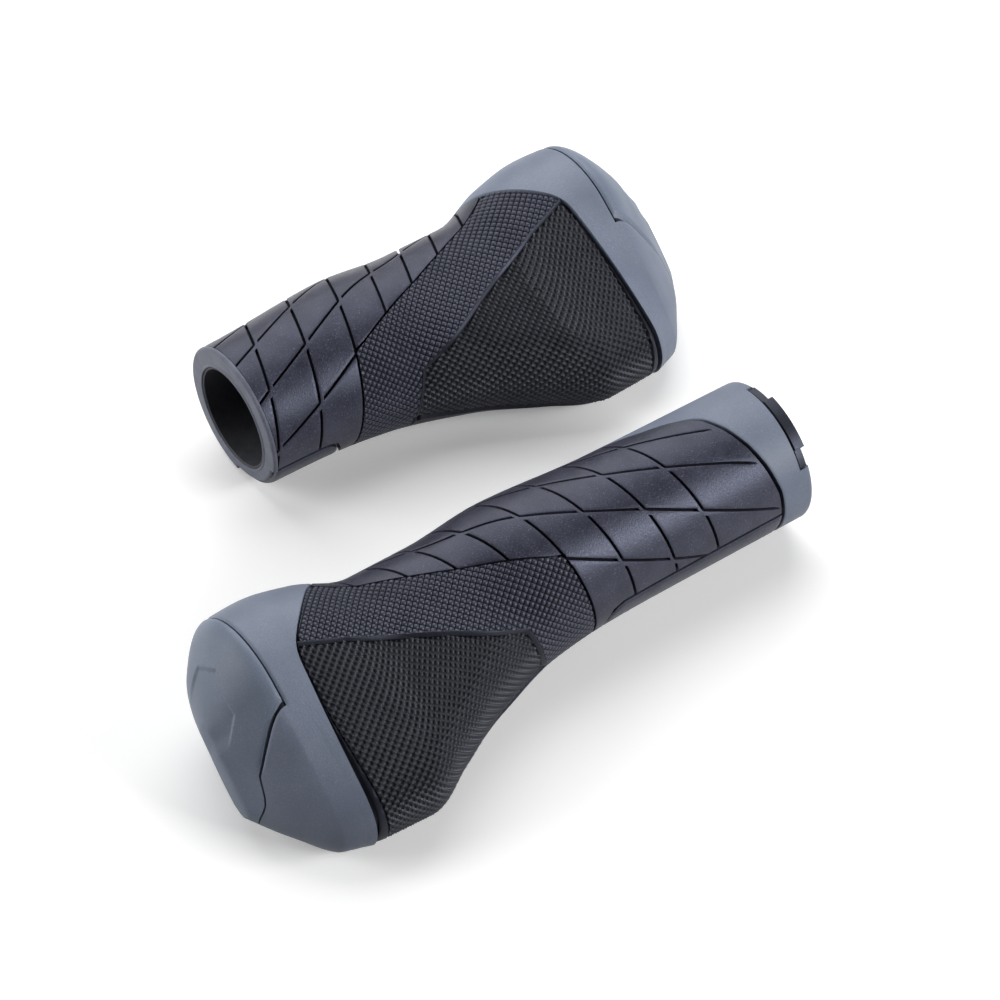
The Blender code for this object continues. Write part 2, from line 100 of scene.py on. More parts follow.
# %% [markdown]
# ## Camera
# The pair was photographed from above and from the left with a long lens, so the perspective is weak. The
# bearing, tilt and roll below were fitted to the outlines of both grips.

# %% Camera at the photograph's viewing angle
BEARING = math.radians(32.625)
TILT = math.radians(45.931)
ROLL = math.radians(-2.865)
DISTANCE = 990.98 * MM
AIM = Vector((6.008, -9.086, 15.5)) * MM
level_reach = math.cos(TILT)
ahead = Vector((math.sin(BEARING) * level_reach, math.cos(BEARING) * level_reach, -math.sin(TILT)))
level = Vector((math.cos(BEARING), -math.sin(BEARING), 0.0))
above = level.cross(ahead)
across = math.cos(ROLL) * level + math.sin(ROLL) * above
upward = -math.sin(ROLL) * level + math.cos(ROLL) * above

bpy.ops.object.select_all(action="DESELECT")
bpy.ops.object.camera_add()
camera = bpy.context.object
turn = Matrix((across, upward, -ahead)).transposed().to_4x4()
camera.matrix_world = Matrix.Translation(AIM - ahead * DISTANCE) @ turn
camera.data.lens = 175.0
camera.data.sensor_width = 36.0
camera.data.clip_end = 20.0
bpy.context.scene.camera = camera
print("camera at, m:", [round(c, 3) for c in camera.location])

# %% [markdown]
# ## The outer form
# Every section of a grip is the hull of two circles, one round the bar and one at the tip of the wing,
# and both change along the bar. A hull is easy to write as a support function: for each direction, how
# far out the tangent line lies. The same rows of sizes shape the CAD solids, so the dressed pieces fit
# them. A loft between drawn sections would also do, but it can't be offset square to itself as this form
# can.

# %% Sizes of the form
BORE_RADIUS = 11.1
SLEEVE_WALL = 2.0
CORE_GAP = 0.5
TUBE_RADIUS = 15.5
FLOOR_DROP = TUBE_RADIUS
ROOT_BLEND = 1.5
# station, barrel radius, forward shift, barrel lift, tip radius, tip reach, tip lift
FORM = np.array(
    [
        (0.0, 2.5, 0.0, FLOOR_DROP, 2.5, 11.0, 5.0),
        (5.0, TUBE_RADIUS - 3.0, 2.5, 4.0, 5.5, 16.5, 2.5),
        (12.0, TUBE_RADIUS + 2.2, 3.6, 0.0, 8.0, 22.5, 0.0),
        (20.0, TUBE_RADIUS + 2.1, 4.2, 0.0, 10.0, 24.6, 0.0),
        (30.0, TUBE_RADIUS + 1.3, 3.5, 0.0, 11.0, 24.6, 0.0),
        (42.0, TUBE_RADIUS - 0.2, 1.4, 0.0, 12.4, 17.6, 0.0),
        (56.0, TUBE_RADIUS - 0.2, 1.4, 0.0, 13.2, 9.4, 0.0),
        (74.0, TUBE_RADIUS + 1.0, 0.5, 0.0, 11.5, 4.0, 0.0),
        (100.0, TUBE_RADIUS + 0.3, 0.0, 0.0, 11.5, 0.0, 0.0),
        (136.0, TUBE_RADIUS, 0.0, 0.0, 11.5, 0.0, 0.0),
    ]
)
FORM_END = FORM[-1, 0]
TANGENTS = np.radians(np.arange(0, 360))
LEAST_FACING = 0.15         # tangent lines that face further away than this don't bound a point


def along_form(column, u):
    """Monotone cubic through one column of the form's rows."""
    x, y = FORM[:, 0], FORM[:, column]
    step = np.diff(y) / np.diff(x)
    slope = np.concatenate([step[:1], np.zeros(len(x) - 2), step[-1:]])
    same = step[:-1] * step[1:] > 0
    both = np.where(same, step[:-1] + step[1:], 1.0)
    slope[1:-1] = np.where(same, 2 * step[:-1] * step[1:] / both, 0.0)
    i = np.clip(np.searchsorted(x, u) - 1, 0, len(x) - 2)
    h = x[i + 1] - x[i]
    t = np.clip((u - x[i]) / h, 0.0, 1.0)
    low = y[i] * (1 + 2 * t) * (1 - t) ** 2 + slope[i] * h * t * (1 - t) ** 2
    return low + y[i + 1] * t**2 * (3 - 2 * t) - slope[i + 1] * h * t**2 * (1 - t)


def section(u, deg, depth=0.0):
    """Points (u, v, w) of the form, taken in by depth within the section; u, deg and depth broadcast."""
    u, deg, depth = (a.ravel() for a in np.broadcast_arrays(*np.atleast_1d(u, deg, depth)))
    radius = np.empty(len(u))
    cos, sin = np.cos(TANGENTS), np.sin(TANGENTS)
    blend = ROOT_BLEND * np.maximum(cos, 0.05) ** 2
    for part in np.array_split(np.arange(len(u)), len(u) // 20000 + 1):
        barrel, forward, lift, tip, reach, tip_lift = (along_form(c, u[part])[:, None] for c in range(1, 7))
        round_bar = barrel - forward * cos + (barrel + lift - FLOOR_DROP) * sin
        round_tip = tip + reach * cos + (tip + tip_lift - FLOOR_DROP) * sin
        support = np.maximum(round_bar, round_tip)
        support += blend * np.log1p(np.exp(-np.abs(round_bar - round_tip) / blend))
        facing = np.cos(np.radians(deg[part])[:, None] - TANGENTS)
        reach_out = (support - depth[part][:, None]) / np.maximum(facing, LEAST_FACING)
        out = np.where(facing > LEAST_FACING, reach_out, np.inf)
        radius[part] = out.min(axis=1)
    angle = np.radians(deg)
    return np.stack([u, radius * np.cos(angle), radius * np.sin(angle)], axis=-1)


# %% [markdown]
# ### A map of the form
# The textures are modelled flat and then wrapped, as a rubber sheet is laid on a former. For that the
# form is sampled once as a table over station and angle, with its outward normal and the length of the
# arc from the rear line. Looking a point up in the table is quick enough for a hundred thousand vertices.

# %% Sample the form
STATION_STEP = 0.5
ANGLE_STEP = 1.0
stations = np.arange(0.0, FORM_END + STATION_STEP, STATION_STEP)
angles = np.arange(-120.0, 300.0 + ANGLE_STEP, ANGLE_STEP)
grid_u, grid_deg = np.meshgrid(stations, angles, indexing="ij")
surface = section(grid_u, grid_deg).reshape(*grid_u.shape, 3)
normals = np.cross(np.gradient(surface, axis=1), np.gradient(surface, axis=0))
normals /= np.linalg.norm(normals, axis=-1, keepdims=True)
radii = np.hypot(surface[..., 1], surface[..., 2])
steps = np.linalg.norm(np.diff(surface, axis=1), axis=-1)
arcs = np.concatenate([np.zeros((len(stations), 1)), np.cumsum(steps, axis=1)], axis=1)
arcs -= arcs[:, [int(-angles[0] / ANGLE_STEP)]]


def bilinear(table, i, j):
    """Reading of a table between its rows i and columns j, which are held inside it."""
    i, j = np.clip(i, 0, table.shape[0] - 1.001), np.clip(j, 0, table.shape[1] - 1.001)
    a, b = i.astype(int), j.astype(int)
    s, t = i - a, j - b
    if table.ndim == 3:
        s, t = s[..., None], t[..., None]
    low = table[a, b] * (1 - t) + table[a, b + 1] * t
    return low * (1 - s) + (table[a + 1, b] * (1 - t) + table[a + 1, b + 1] * t) * s


def look_up(table, u, deg):
    """Reading of a table over station and angle."""
    return bilinear(table, u / STATION_STEP, (deg - angles[0]) / ANGLE_STEP)


def on_form(u, deg, height=0.0):
    """Points (u, v, w) on the form, raised by height along its normal."""
    u, deg = np.broadcast_arrays(np.asarray(u, float), deg)
    r, angle = look_up(radii, u, deg), np.radians(deg)
    foot = np.stack([u, r * np.cos(angle), r * np.sin(angle)], axis=-1)
    return foot + look_up(normals, u, deg) * np.asarray(height)[..., None]


ARC_STEP = 0.25
arc_grid = np.arange(-45.0, 75.0 + ARC_STEP, ARC_STEP)
angle_by_arc = np.stack([np.interp(arc_grid, row, angles) for row in arcs])


def arc_to_angle(u, arc):
    """The angle at which the arc from the rear line has a given length."""
    return bilinear(angle_by_arc, u / STATION_STEP, (arc - arc_grid[0]) / ARC_STEP)


print("form sampled at", surface.shape[0], "stations and", surface.shape[1], "angles")

# %% [markdown]
# ## Hand tools
# The steps that come back for every piece: pick one object, read and write its points, apply a modifier,
# cut with a tool and throw the tool away, and carry a finished piece to its grip.

# %% Small helpers
def pick(obj):
    """Leave one object selected and active, in object mode."""
    if bpy.context.mode != "OBJECT":
        bpy.ops.object.mode_set(mode="OBJECT")
    bpy.ops.object.select_all(action="DESELECT")
    obj.select_set(True)
    bpy.context.view_layer.objects.active = obj


def add(primitive, **settings):
    """Run one of Blender's adding operators with nothing of the model selected; returns the new object."""
    pick(camera)
    primitive(**settings)
    return bpy.context.object


def edit(obj, everything=True):
    """Enter edit mode with all faces or none selected."""
    pick(obj)
    bpy.ops.object.mode_set(mode="EDIT")
    bpy.ops.mesh.select_mode(type="FACE")
    bpy.ops.mesh.select_all(action="SELECT" if everything else "DESELECT")


def leave_edit():
    bpy.ops.object.mode_set(mode="OBJECT")


def read(obj):
    flat = np.empty(len(obj.data.vertices) * 3)
    obj.data.vertices.foreach_get("co", flat)
    return flat.reshape(-1, 3)


def write(obj, places):
    obj.data.vertices.foreach_set("co", np.asarray(places, float).ravel())
    obj.data.update()


def face_out(obj):
    """Make all faces point outwards."""
    edit(obj)
    bpy.ops.mesh.normals_make_consistent(inside=False)
    leave_edit()


def apply(obj, kind, **settings):
    """Add one modifier with its settings and apply it."""
    pick(obj)
    modifier = obj.modifiers.new(kind.lower(), kind)
    for name, value in settings.items():
        setattr(modifier, name, value)
    bpy.ops.object.modifier_apply(modifier=modifier.name)


def cut(obj, tool, operation="DIFFERENCE"):
    """Apply a Boolean and remove the tool."""
    apply(obj, "BOOLEAN", operation=operation, solver="MANIFOLD", object=tool)
    bpy.data.objects.remove(tool, do_unlink=True)


def triangles(obj):
    return sum(len(p.vertices) - 2 for p in obj.data.polygons)


# %% Carry a piece to its grip
SLIVER = 0.004              # edges shorter than this, left by the cuts, are closed up


def settle(obj, side, name, material, smooth=40.0, body="grip", node=None, slot=None):
    """Turn a piece from the grip's millimetres to the frame's metres, dress it and let it ride."""
    edit(obj)
    bpy.ops.mesh.dissolve_degenerate(threshold=SLIVER)
    leave_edit()
    u, v, w = read(obj).T
    x, y, z = START[side]
    write(obj, np.stack([x + SIGN[side] * u, y - v, z + w], axis=-1) * MM)
    obj.name = obj.data.name = side + "_" + name
    face_out(obj)
    pick(obj)
    bpy.ops.object.shade_smooth_by_angle(angle=math.radians(smooth))
    obj.data.materials.clear()
    obj.data.materials.append(material)
    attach(obj, f"{side}_{body}")
    if node:
        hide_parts(side + "_" + node)
    print(f"{obj.name}: {triangles(obj)} triangles")
    return obj


def twin(obj):
    """A copy with a mesh of its own."""
    pick(obj)
    bpy.ops.object.duplicate(linked=False)
    return bpy.context.object


def settle_pair(obj, *what, **more):
    """Settle a copy of a piece on the right grip, and the piece itself on the left."""
    for side, piece in (("right", twin(obj)), ("left", obj)):
        settle(piece, side, *what, **more)


# %% [markdown]
# ## Finishes
# Almost everything here is moulded, so what the eye sees is the mould's surface: a fine grit that breaks
# up the highlight, and faint clouding where the rubber flowed. Both are drawn by noise whose size is a
# real length.

# %% Colours and nodes
def linear(code):
    """sRGB hex to the linear colour that Blender's sockets take."""
    parts = [int(code[i : i + 2], 16) / 255 for i in (1, 3, 5)]
    return [c / 12.92 if c <= 0.04045 else ((c + 0.055) / 1.055) ** 2.4 for c in parts] + [1.0]


def plug(tree, node, inputs):
    """Give inputs of a node a value each, or a link if the value is another node's output."""
    for name, value in inputs.items():
        if isinstance(value, bpy.types.NodeSocket):
            tree.links.new(value, node.inputs[name])
        else:
            node.inputs[name].default_value = value


def add_node(tree, kind, inputs, output=0, **settings):
    """Add a node with its settings and inputs, and return one of its outputs."""
    node = tree.nodes.new("ShaderNode" + kind)
    for name, value in settings.items():
        setattr(node, name, value)
    plug(tree, node, inputs)
    return node.outputs[output]


def mix(tree, factor, a, b, **settings):
    """A blend of two colours."""
    return add_node(tree, "Mix", {"Factor": factor, "A": a, "B": b}, "Result", data_type="RGBA", **settings)


def start_material(name):
    """A new material, with its nodes and its shader."""
    material = bpy.data.materials.new(name)
    material.use_nodes = True
    return material, material.node_tree, material.node_tree.nodes["Principled BSDF"]


def per_metre(size_mm):
    """Noise scale for features of about one size in millimetres."""
    return 1.0 / (size_mm * MM)


def noise(tree, size_mm, detail, where=None):
    """Noise with features of about one size, laid by the object's own coordinates."""
    if where is None:
        where = add_node(tree, "TexCoord", {}, "Object")
    return add_node(tree, "TexNoise", {"Vector": where, "Scale": per_metre(size_mm), "Detail": detail})


GROOVE_SHADE_BLACK = "#08080a"     # painted shade: the colour blended in towards the bottom of a groove or a pit


def moulded(name, dark, pale, grit, cloud, relief, rough, specular=0.5, painted_glint=0.0, tint="#ffffff"):
    """A moulded finish: grit and relief in millimetres, clouding between two colours, a range of roughness.

    Painted glint is the share of the paler colour painted on the few grains that stand proud, as painted
    highlights, and tint the colour of the reflection.  Where a mesh carries a depth, the rubber is rougher
    there and its colour is darkened towards black, as painted shade.
    """
    material, tree, shader = start_material(name)
    clouds, specks = noise(tree, cloud, 4.0), noise(tree, grit, 3.0)
    both = add_node(tree, "Math", {0: clouds, 1: specks}, operation="MULTIPLY")
    share = add_node(tree, "MapRange", {"Value": both, "From Min": 0.15, "From Max": 0.38})
    # Painted glints: the few grains that stand proud are painted far paler than the rubber.
    glint_grains = {"Value": specks, "From Min": 0.62, "From Max": 0.74, "To Max": painted_glint}
    total = add_node(tree, "Math", {0: share, 1: add_node(tree, "MapRange", glint_grains)}, operation="ADD")
    colour = mix(tree, total, linear(dark), linear(pale), clamp_factor=False)
    # Painted shade: the colour is blended towards black with the depth stored on the mesh, and the rubber is
    # rougher there.
    depth = add_node(tree, "Attribute", {}, "Fac", attribute_name="depth")
    worn = {"Value": specks, "From Min": 0.3, "From Max": 0.7, "To Min": rough[0], "To Max": rough[1]}
    dulled = {"Value": depth, "To Min": add_node(tree, "MapRange", worn), "To Max": 1.0}
    inputs = {
        "Base Color": mix(tree, depth, colour, linear(GROOVE_SHADE_BLACK)),
        "Roughness": add_node(tree, "MapRange", dulled),
        "Specular IOR Level": specular,
        "Specular Tint": linear(tint),
        "IOR": 1.5,
        "Normal": add_node(tree, "Bump", {"Height": specks, "Distance": relief * MM, "Strength": 1.0}),
    }
    plug(tree, shader, inputs)
    return material


# %% The finishes of this pair
BLUISH = "#dae1ff"          # the oil in the rubber's skin turns its reflections blue
# Thermoplastic rubber from a spark-eroded mould: satin blue-black, with painted glints on grains of the
# diamonds.
diamond_rubber = moulded(
    "satin_black_rubber", "#262731", "#3a3b48", 0.32, 4.5, 0.050, (0.32, 0.50), 0.5, painted_glint=3.5, tint=BLUISH
)
# The same rubber where the fine pillows took the polish of the mould's hollows.
pillow_rubber = moulded(
    "fine_mesh_black_rubber", "#2e2f39", "#3f404b", 0.30, 5.0, 0.006, (0.26, 0.38), 0.6, tint=BLUISH
)
# Softer, darker rubber for the palm, with a wet-looking glint on the tips of its net.
palm_rubber = moulded(
    "palm_mesh_black_rubber", "#25262b", "#333439", 0.30, 5.0, 0.006, (0.22, 0.33), 0.55, tint="#ebeeff"
)
# Plain black rubber between the textures, with a dull sheen and no pattern.
plain_rubber = moulded(
    "plain_black_rubber", "#1a1a20", "#25252b", 0.30, 7.0, 0.010, (0.46, 0.60), 0.3, tint=BLUISH
)
# The smooth band round the palm pad, where the mould was polished.
band_rubber = moulded(
    "smooth_black_rubber", "#18191e", "#22232a", 0.30, 6.0, 0.008, (0.36, 0.48), 0.36, tint=BLUISH
)
# The end of the open sleeve: black rubber painted paler than its moulded skin, as a painted reflection of the
# pale surroundings at a grazing angle.
rim_painted_reflection_rubber = moulded(
    "black_rubber_painted_reflection", "#5e616d", "#70737f", 0.30, 3.0, 0.015, (0.40, 0.55), 0.45, tint=BLUISH
)
# Slate-blue grey rubber of the shoulders and the collar: smooth, with a broad soft highlight and faint
# painted glints on its grains.
grey_rubber = moulded(
    "slate_grey_rubber", "#6e7687", "#7a8293", 0.30, 9.0, 0.008, (0.45, 0.58), 0.35, painted_glint=1.2
)
# The caps are the same grey in a harder plastic, with the same painted glints.
grey_plastic = moulded(
    "slate_grey_plastic", "#6d7788", "#798394", 0.30, 9.0, 0.008, (0.42, 0.55), 0.35, painted_glint=1.2
)
# Glass-filled nylon of the core: dull charcoal, with faint fibres.
nylon = moulded("charcoal_nylon", "#38393e", "#494a50", 0.35, 4.0, 0.020, (0.50, 0.70), 0.4)
# Satin plastic badge, left bare.
badge_plastic = moulded(
    "satin_black_plastic", "#1c1d22", "#2b2c34", 0.30, 4.0, 0.015, (0.36, 0.50), 0.45, tint=BLUISH
)
print("moulded finishes:", len(bpy.data.materials))

# %% [markdown]
# ## The lines between the parts
# Seen on the map of station and angle, a grip is a patchwork: grey shoulder, fine panel, palm pad,
# diamonds, strip, and a grey collar on the long one. The lines are read once here, and both neighbours of
# a line use it.

# %% Seams as curves
def through(points):
    """A curve of station over angle, or the other way round, through a few points."""
    x, y = np.array(sorted(points)).T
    return lambda at: np.interp(at, x, y)


def from_bottom(deg):
    """The same angle, between -90 and 270 degrees."""
    return np.mod(np.asarray(deg, float) + 90.0, 360.0) - 90.0


CORNER = 3.5                # degrees over which the shoulder's edge turns at the crease
CORNER_DEG = 82.0
RISE_DEG = 88.0             # degrees over which the edge sweeps inboard after the corner
FALL_DEG = (195.0, 60.0)    # where it starts to come back under the front, and over how many degrees
EDGE_START = 17.3
EDGE_LEAN = 0.032           # millimetres for each degree, on the palm side
EDGE_SWEEP = 17.0


def shoulder_edge(deg):
    """Where the grey shoulder ends: nearly straight on the palm side, swept inboard over the front."""
    turn = from_bottom(deg)
    rise = np.clip(CORNER * np.log1p(np.exp((turn - CORNER_DEG) / CORNER)) / RISE_DEG, 0, 1)
    fall = np.clip((turn - FALL_DEG[0]) / FALL_DEG[1], 0, 1)
    sweep = np.sin(rise * math.pi / 2) * (0.5 + 0.5 * np.cos(fall * math.pi))
    return EDGE_START + EDGE_LEAN * np.clip(turn, 0.0, CORNER_DEG) * (1 - fall) + EDGE_SWEEP * sweep


collar_line = through(
    [(-90, 129.0), (-10, 129.3), (15, 129.0), (40, 127.5), (60, 126.0), (80, 124.0), (97, 121.8),
     (104, 120.0), (113, 115.5), (120, 110.5), (150, 96.0), (180, 92.0), (215, 100.0), (250, 118.0),
     (270, 129.0)]
)


def collar_edge(deg):
    """Where the long grip's grey collar starts."""
    return collar_line(from_bottom(deg))


crease = through(
    [(20.0, 83.0), (21.2, 81.5), (30.0, 72.6), (40.0, 57.6), (50.0, 41.8), (60.0, 25.8), (65.4, 17.0)]
)
pad_end = through([(17.0, 65.4), (7.0, 66.5), (-2.0, 67.2), (-14.0, 68.0), (-26.0, 68.7)])
fine_top = through([(32.0, 123.5), (40.0, 113.5), (48.8, 97.5), (58.5, 81.5), (68.0, 66.0), (78.0, 51.0)])
print("shoulder edge at 0, 80 and 122 degrees:", [round(float(shoulder_edge(d)), 1) for d in (0, 80, 122)])

# %% Groove families of the diamonds
STEEP_STARTS = (110.8, 133.7, 155.6, 175.7, 195.7, 215.7, 235.7, 255.7, 275.7, 295.7)
CROSS_STARTS = (40.6, 48.4, 56.2, 64.0, 72.2, 81.5, 91.7, 102.2, 112.5)
dense = np.linspace(-120.0, 300.0, 2101)


def steep(deg):
    """The long grooves climb round the bar: their station plus this is constant."""
    return np.where(deg > 55.0, deg / 1.56, 55.0 / 1.56 + (deg - 55.0) / 1.8)


def cross(deg):
    """The short grooves run almost straight round the bar."""
    return 0.0372 * (deg + 8.0) + 0.000259 * (deg + 8.0) ** 2


def crossing(c, k):
    """Station and angle where a long groove c meets a short groove k."""
    deg = np.interp(c - k, steep(dense) - cross(dense), dense)
    return k - cross(deg), deg


# %% [markdown]
# ### Outlines of the panels
# Each panel is cut from a flat sheet by an outline on the map. A thin gap is left between neighbours, in
# which the plain rubber underneath shows as a dark line.

# %% Outlines in station and angle
DEG_MM = 0.29               # a degree round the bar, in millimetres, on the flat map
SEAM = 0.45
PALM_SINK = 0.35            # the palm pad lies this much lower than the fine panel
RIM = 0.9                   # width of the rounded rim at the short grip's open end
STRIP_TOP = {"left": -9.5, "right": -16.0}
STRIP_START = {"left": 83.0, "right": 84.0}
STRIP_GAP = 4.5             # degrees between the strip and the diamonds
PAD_LOW = -24.0
PANEL_LOW = -42.0           # lower end of the fine panel and the diamonds beside it
LINE = 0.5                  # dark line between the fine panel and the diamonds
COLLAR_GAP = 0.85           # dark gap between the diamonds and the grey collar


def bead(deg):
    """Width of the smooth black wedge between the shoulder and the palm pad."""
    return 0.3 + 2.2 * np.clip((45.0 - np.asarray(deg)) / 60.0, 0, 1) ** 1.6


def crease_path():
    """The upper and inboard edge of the palm pad, from the shoulder round the corner to its lower end."""
    high = [(a, crease(a)) for a in np.linspace(21.0, 64.0, 60)]
    corner = [(64.9, 18.0), (65.6, 16.4)]
    end = [(pad_end(d), d) for d in np.linspace(14.5, PAD_LOW, 40)]
    return np.array(high + corner + end)


def fine_outline():
    u = np.linspace(21.6, 65.6, 24)
    low = [(a, crease(a) + 0.25 / DEG_MM) for a in u]
    end = [(pad_end(d) + 0.50, d) for d in np.linspace(17.5, PANEL_LOW, 8)]
    far = [(81.5 - LINE / 2 - cross(d), d) for d in np.linspace(PANEL_LOW, 50.0, 12)]
    top = [(a, fine_top(a)) for a in np.linspace(77.6, 33.0, 16)]
    left = [(shoulder_edge(d) + SEAM + 0.1, d) for d in np.linspace(121.0, 87.0, 10)]
    return np.array(low + end + far + top + left)


def palm_outline():
    u = np.linspace(21.7, 65.2, 24)
    high = [(a, crease(a) - 0.2 / DEG_MM) for a in u]
    end = [(pad_end(d) - 0.30, d) for d in np.linspace(15.0, PAD_LOW, 8)]
    left = [(shoulder_edge(d) + SEAM + bead(d), d) for d in np.linspace(PAD_LOW, 79.0, 16)]
    return np.array(high + end + left)


def diamond_outline(side):
    strip, start = STRIP_TOP[side], STRIP_START[side]
    lower = [(start + 0.4, PANEL_LOW), (start + 1.2, PANEL_LOW), (start + 2.0, strip - 10.5)]
    lower += [(start + 3.2, strip + 0.5), (start + 5.6, strip + STRIP_GAP)]
    if side == "left":
        far = [(collar_edge(d) - COLLAR_GAP, d) for d in np.linspace(strip + STRIP_GAP, 266.0, 90)]
    else:
        far = [(LENGTH["right"] - RIM - 0.1, d) for d in np.linspace(strip + STRIP_GAP, 266.0, 30)]
    under = [(86.0, 266.0), (76.0, 255.0)]
    near = [(shoulder_edge(d) + SEAM + 0.2, d) for d in np.linspace(240.0, 126.0, 24)]
    top = [(a, fine_top(a) + 1.5) for a in np.linspace(34.0, 78.8, 16)]
    fine_side = [(81.5 + LINE / 2 - cross(d), d) for d in np.linspace(48.0, PANEL_LOW, 12)]
    return np.array(lower + far + under + near + top + fine_side)


# %% [markdown]
# ## Wrapping flat sheets
# A sheet is a closed slab drawn flat in millimetres, with its texture on top. An outline, pushed through
# it as a prism, trims it, and its points are then carried to the form: x is the station, y the way round
# the bar, and z the height above the skin.

# %% Slab, prism and wrap
SHEET = 1.2                 # thickness of every textured sheet


def thicken(obj):
    """Extrude a flat textured sheet downwards to a level underside; triangles, so that it cuts cleanly."""
    edit(obj)
    bpy.ops.mesh.extrude_region_move(TRANSFORM_OT_translate={"value": (0.0, 0.0, -SHEET)})
    bpy.ops.transform.resize(value=(1.0, 1.0, 0.0), center_override=(0.0, 0.0, -SHEET))
    leave_edit()
    face_out(obj)
    apply(obj, "TRIANGULATE")


def add_prism(outline, low, high):
    """A closed prism: a filled circle with one vertex for each point, pulled to the outline and extruded."""
    prism = add(bpy.ops.mesh.primitive_circle_add, vertices=len(outline), fill_type="NGON")
    write(prism, np.column_stack([outline, np.full(len(outline), low)]))
    edit(prism)
    bpy.ops.mesh.extrude_region_move(TRANSFORM_OT_translate={"value": (0.0, 0.0, high - low)})
    leave_edit()
    face_out(prism)
    return prism


def trim(sheet, outline):
    """Thicken a flat sheet and keep what lies inside an outline."""
    thicken(sheet)
    cut(sheet, add_prism(outline, -2 * SHEET, SHEET), "INTERSECT")


def add_grid(columns, rows):
    """A flat grid and, for each of its points, the column and the row that it is in."""
    grid = add(bpy.ops.mesh.primitive_grid_add, x_subdivisions=columns - 1, y_subdivisions=rows - 1, size=2.0)
    x, y, _ = (read(grid).T + 1) / 2
    return grid, np.round(x * (columns - 1)).astype(int), np.round(y * (rows - 1)).astype(int)


def run_along(middle):
    """Length along the form from the outboard end to every station, at one angle."""
    r = look_up(radii, stations, np.full(len(stations), middle))
    return np.concatenate([[0.0], np.cumsum(np.hypot(np.diff(stations), np.diff(r)))])


def wrap_by_arc(obj, middle):
    """Carry a flat sheet to the form, true to length both ways; y = 0 lies along the angle middle."""
    x, y, z = read(obj).T
    u = np.interp(x, run_along(middle), stations)
    start = look_up(arcs, u, np.full(len(u), middle))
    write(obj, on_form(u, arc_to_angle(u, y + start), z))


def wrap_by_angle(obj):
    """Carry a flat sheet to the form, with y as an angle."""
    x, y, z = read(obj).T
    write(obj, on_form(x, y / DEG_MM, z))


def mark_depth_for_shade(obj, top, full):
    """Store each point's depth as a share of a full depth; the finish paints shade there and is rougher."""
    share = np.clip((top - read(obj)[:, 2]) / full, 0.0, 1.0)
    obj.data.attributes.new("depth", "FLOAT", "POINT").data.foreach_set("value", share)


def lay_flat(outline, middle):
    """An outline in station and angle on the flat sheet that wrap_by_arc takes."""
    u, deg = outline.T
    x = np.interp(u, stations, run_along(middle))
    return np.column_stack([x, look_up(arcs, u, deg) - look_up(arcs, u, np.full(len(u), middle))])


# %% [markdown]
# ## Fine panel
# The panel on top of the wing is a mesh of small domed pillows, set diagonally. One pillow is a grid of 4
# by 4 whose lines are moved and raised; two Array modifiers repeat it, the sheet is turned by 45 degrees,
# trimmed and wrapped. A bump map would lose the glint on each pillow and the mesh's edge against the
# light.

# %% One pillow, repeated
def add_lattice(tile, pitch, outline):
    """Repeat a tile over the box of an outline, on the diagonal."""
    low, high = outline.min(axis=0), outline.max(axis=0)
    side = (high - low).sum() / math.sqrt(2) + 4 * pitch
    count = int(side / pitch)
    merge = {"use_merge_vertices": True, "merge_threshold": pitch * 0.02}
    for offset in ((1, 0, 0), (0, 1, 0)):
        apply(tile, "ARRAY", count=count, relative_offset_displace=offset, **merge)
    edit(tile)
    half = count * pitch / 2
    bpy.ops.transform.translate(value=(-half, -half, 0.0))
    bpy.ops.transform.rotate(value=math.radians(45), orient_axis="Z", center_override=(0.0, 0.0, 0.0))
    bpy.ops.transform.translate(value=(*((low + high) / 2), 0.0))
    leave_edit()
    return count * count


def add_tile(pitch, lines, heights):
    """A grid of 4 by 4: its lines at given shares of the half pitch, raised by a function of both."""
    tile = add(bpy.ops.mesh.primitive_grid_add, x_subdivisions=4, y_subdivisions=4, size=pitch)
    x, y, _ = read(tile).T / (pitch / 2)
    x, y = (np.sign(c) * np.interp(np.abs(c), [0.0, 0.5, 1.0], lines) for c in (x, y))
    write(tile, np.column_stack([x * pitch / 2, y * pitch / 2, heights(np.abs(x), np.abs(y))]))
    return tile


FINE_PITCH = 1.16
FINE_SHOULDER = 0.74        # share of the pitch that the pillow's top takes
FINE_DEPTH = 0.38
FINE_CROWN = 0.05           # how far the pillow's top falls to its shoulders
FINE_MIDDLE = 45.0          # the angle along which the flat sheet is laid
TILE_EDGE = 0.9             # share of the half pitch beyond which a point is on the tile's edge


def pillow(x, y):
    """Domed top, rounded shoulders and a flat ditch."""
    crown = FINE_CROWN * (x**2 + y**2) / FINE_SHOULDER**2
    return np.where(np.maximum(x, y) > TILE_EDGE, -FINE_DEPTH, -crown)


fine_panel = add_tile(FINE_PITCH, [0.0, FINE_SHOULDER, 1.0], pillow)
fine_flat = lay_flat(fine_outline(), FINE_MIDDLE)
print("pillows in the sheet:", add_lattice(fine_panel, FINE_PITCH, fine_flat))

# %% Trim and wrap the fine panel
MESH_SMOOTH = 75.0          # edges of the meshes that turn less than this are shaded smooth
trim(fine_panel, fine_flat)
# The ditches between the pillows get painted shade from this depth.
mark_depth_for_shade(fine_panel, 0.0, FINE_DEPTH)
wrap_by_arc(fine_panel, FINE_MIDDLE)
settle_pair(fine_panel, "fine_panel", pillow_rubber, MESH_SMOOTH, slot="black_rubber")

# %% [markdown]
# ## Palm pad
# Under the crease the mesh turns coarse, and inside out: a net of strands round square pits, with a
# pointed knob where the strands cross. The tile's corners are the knobs, its edges the strands, its
# middle the pit.

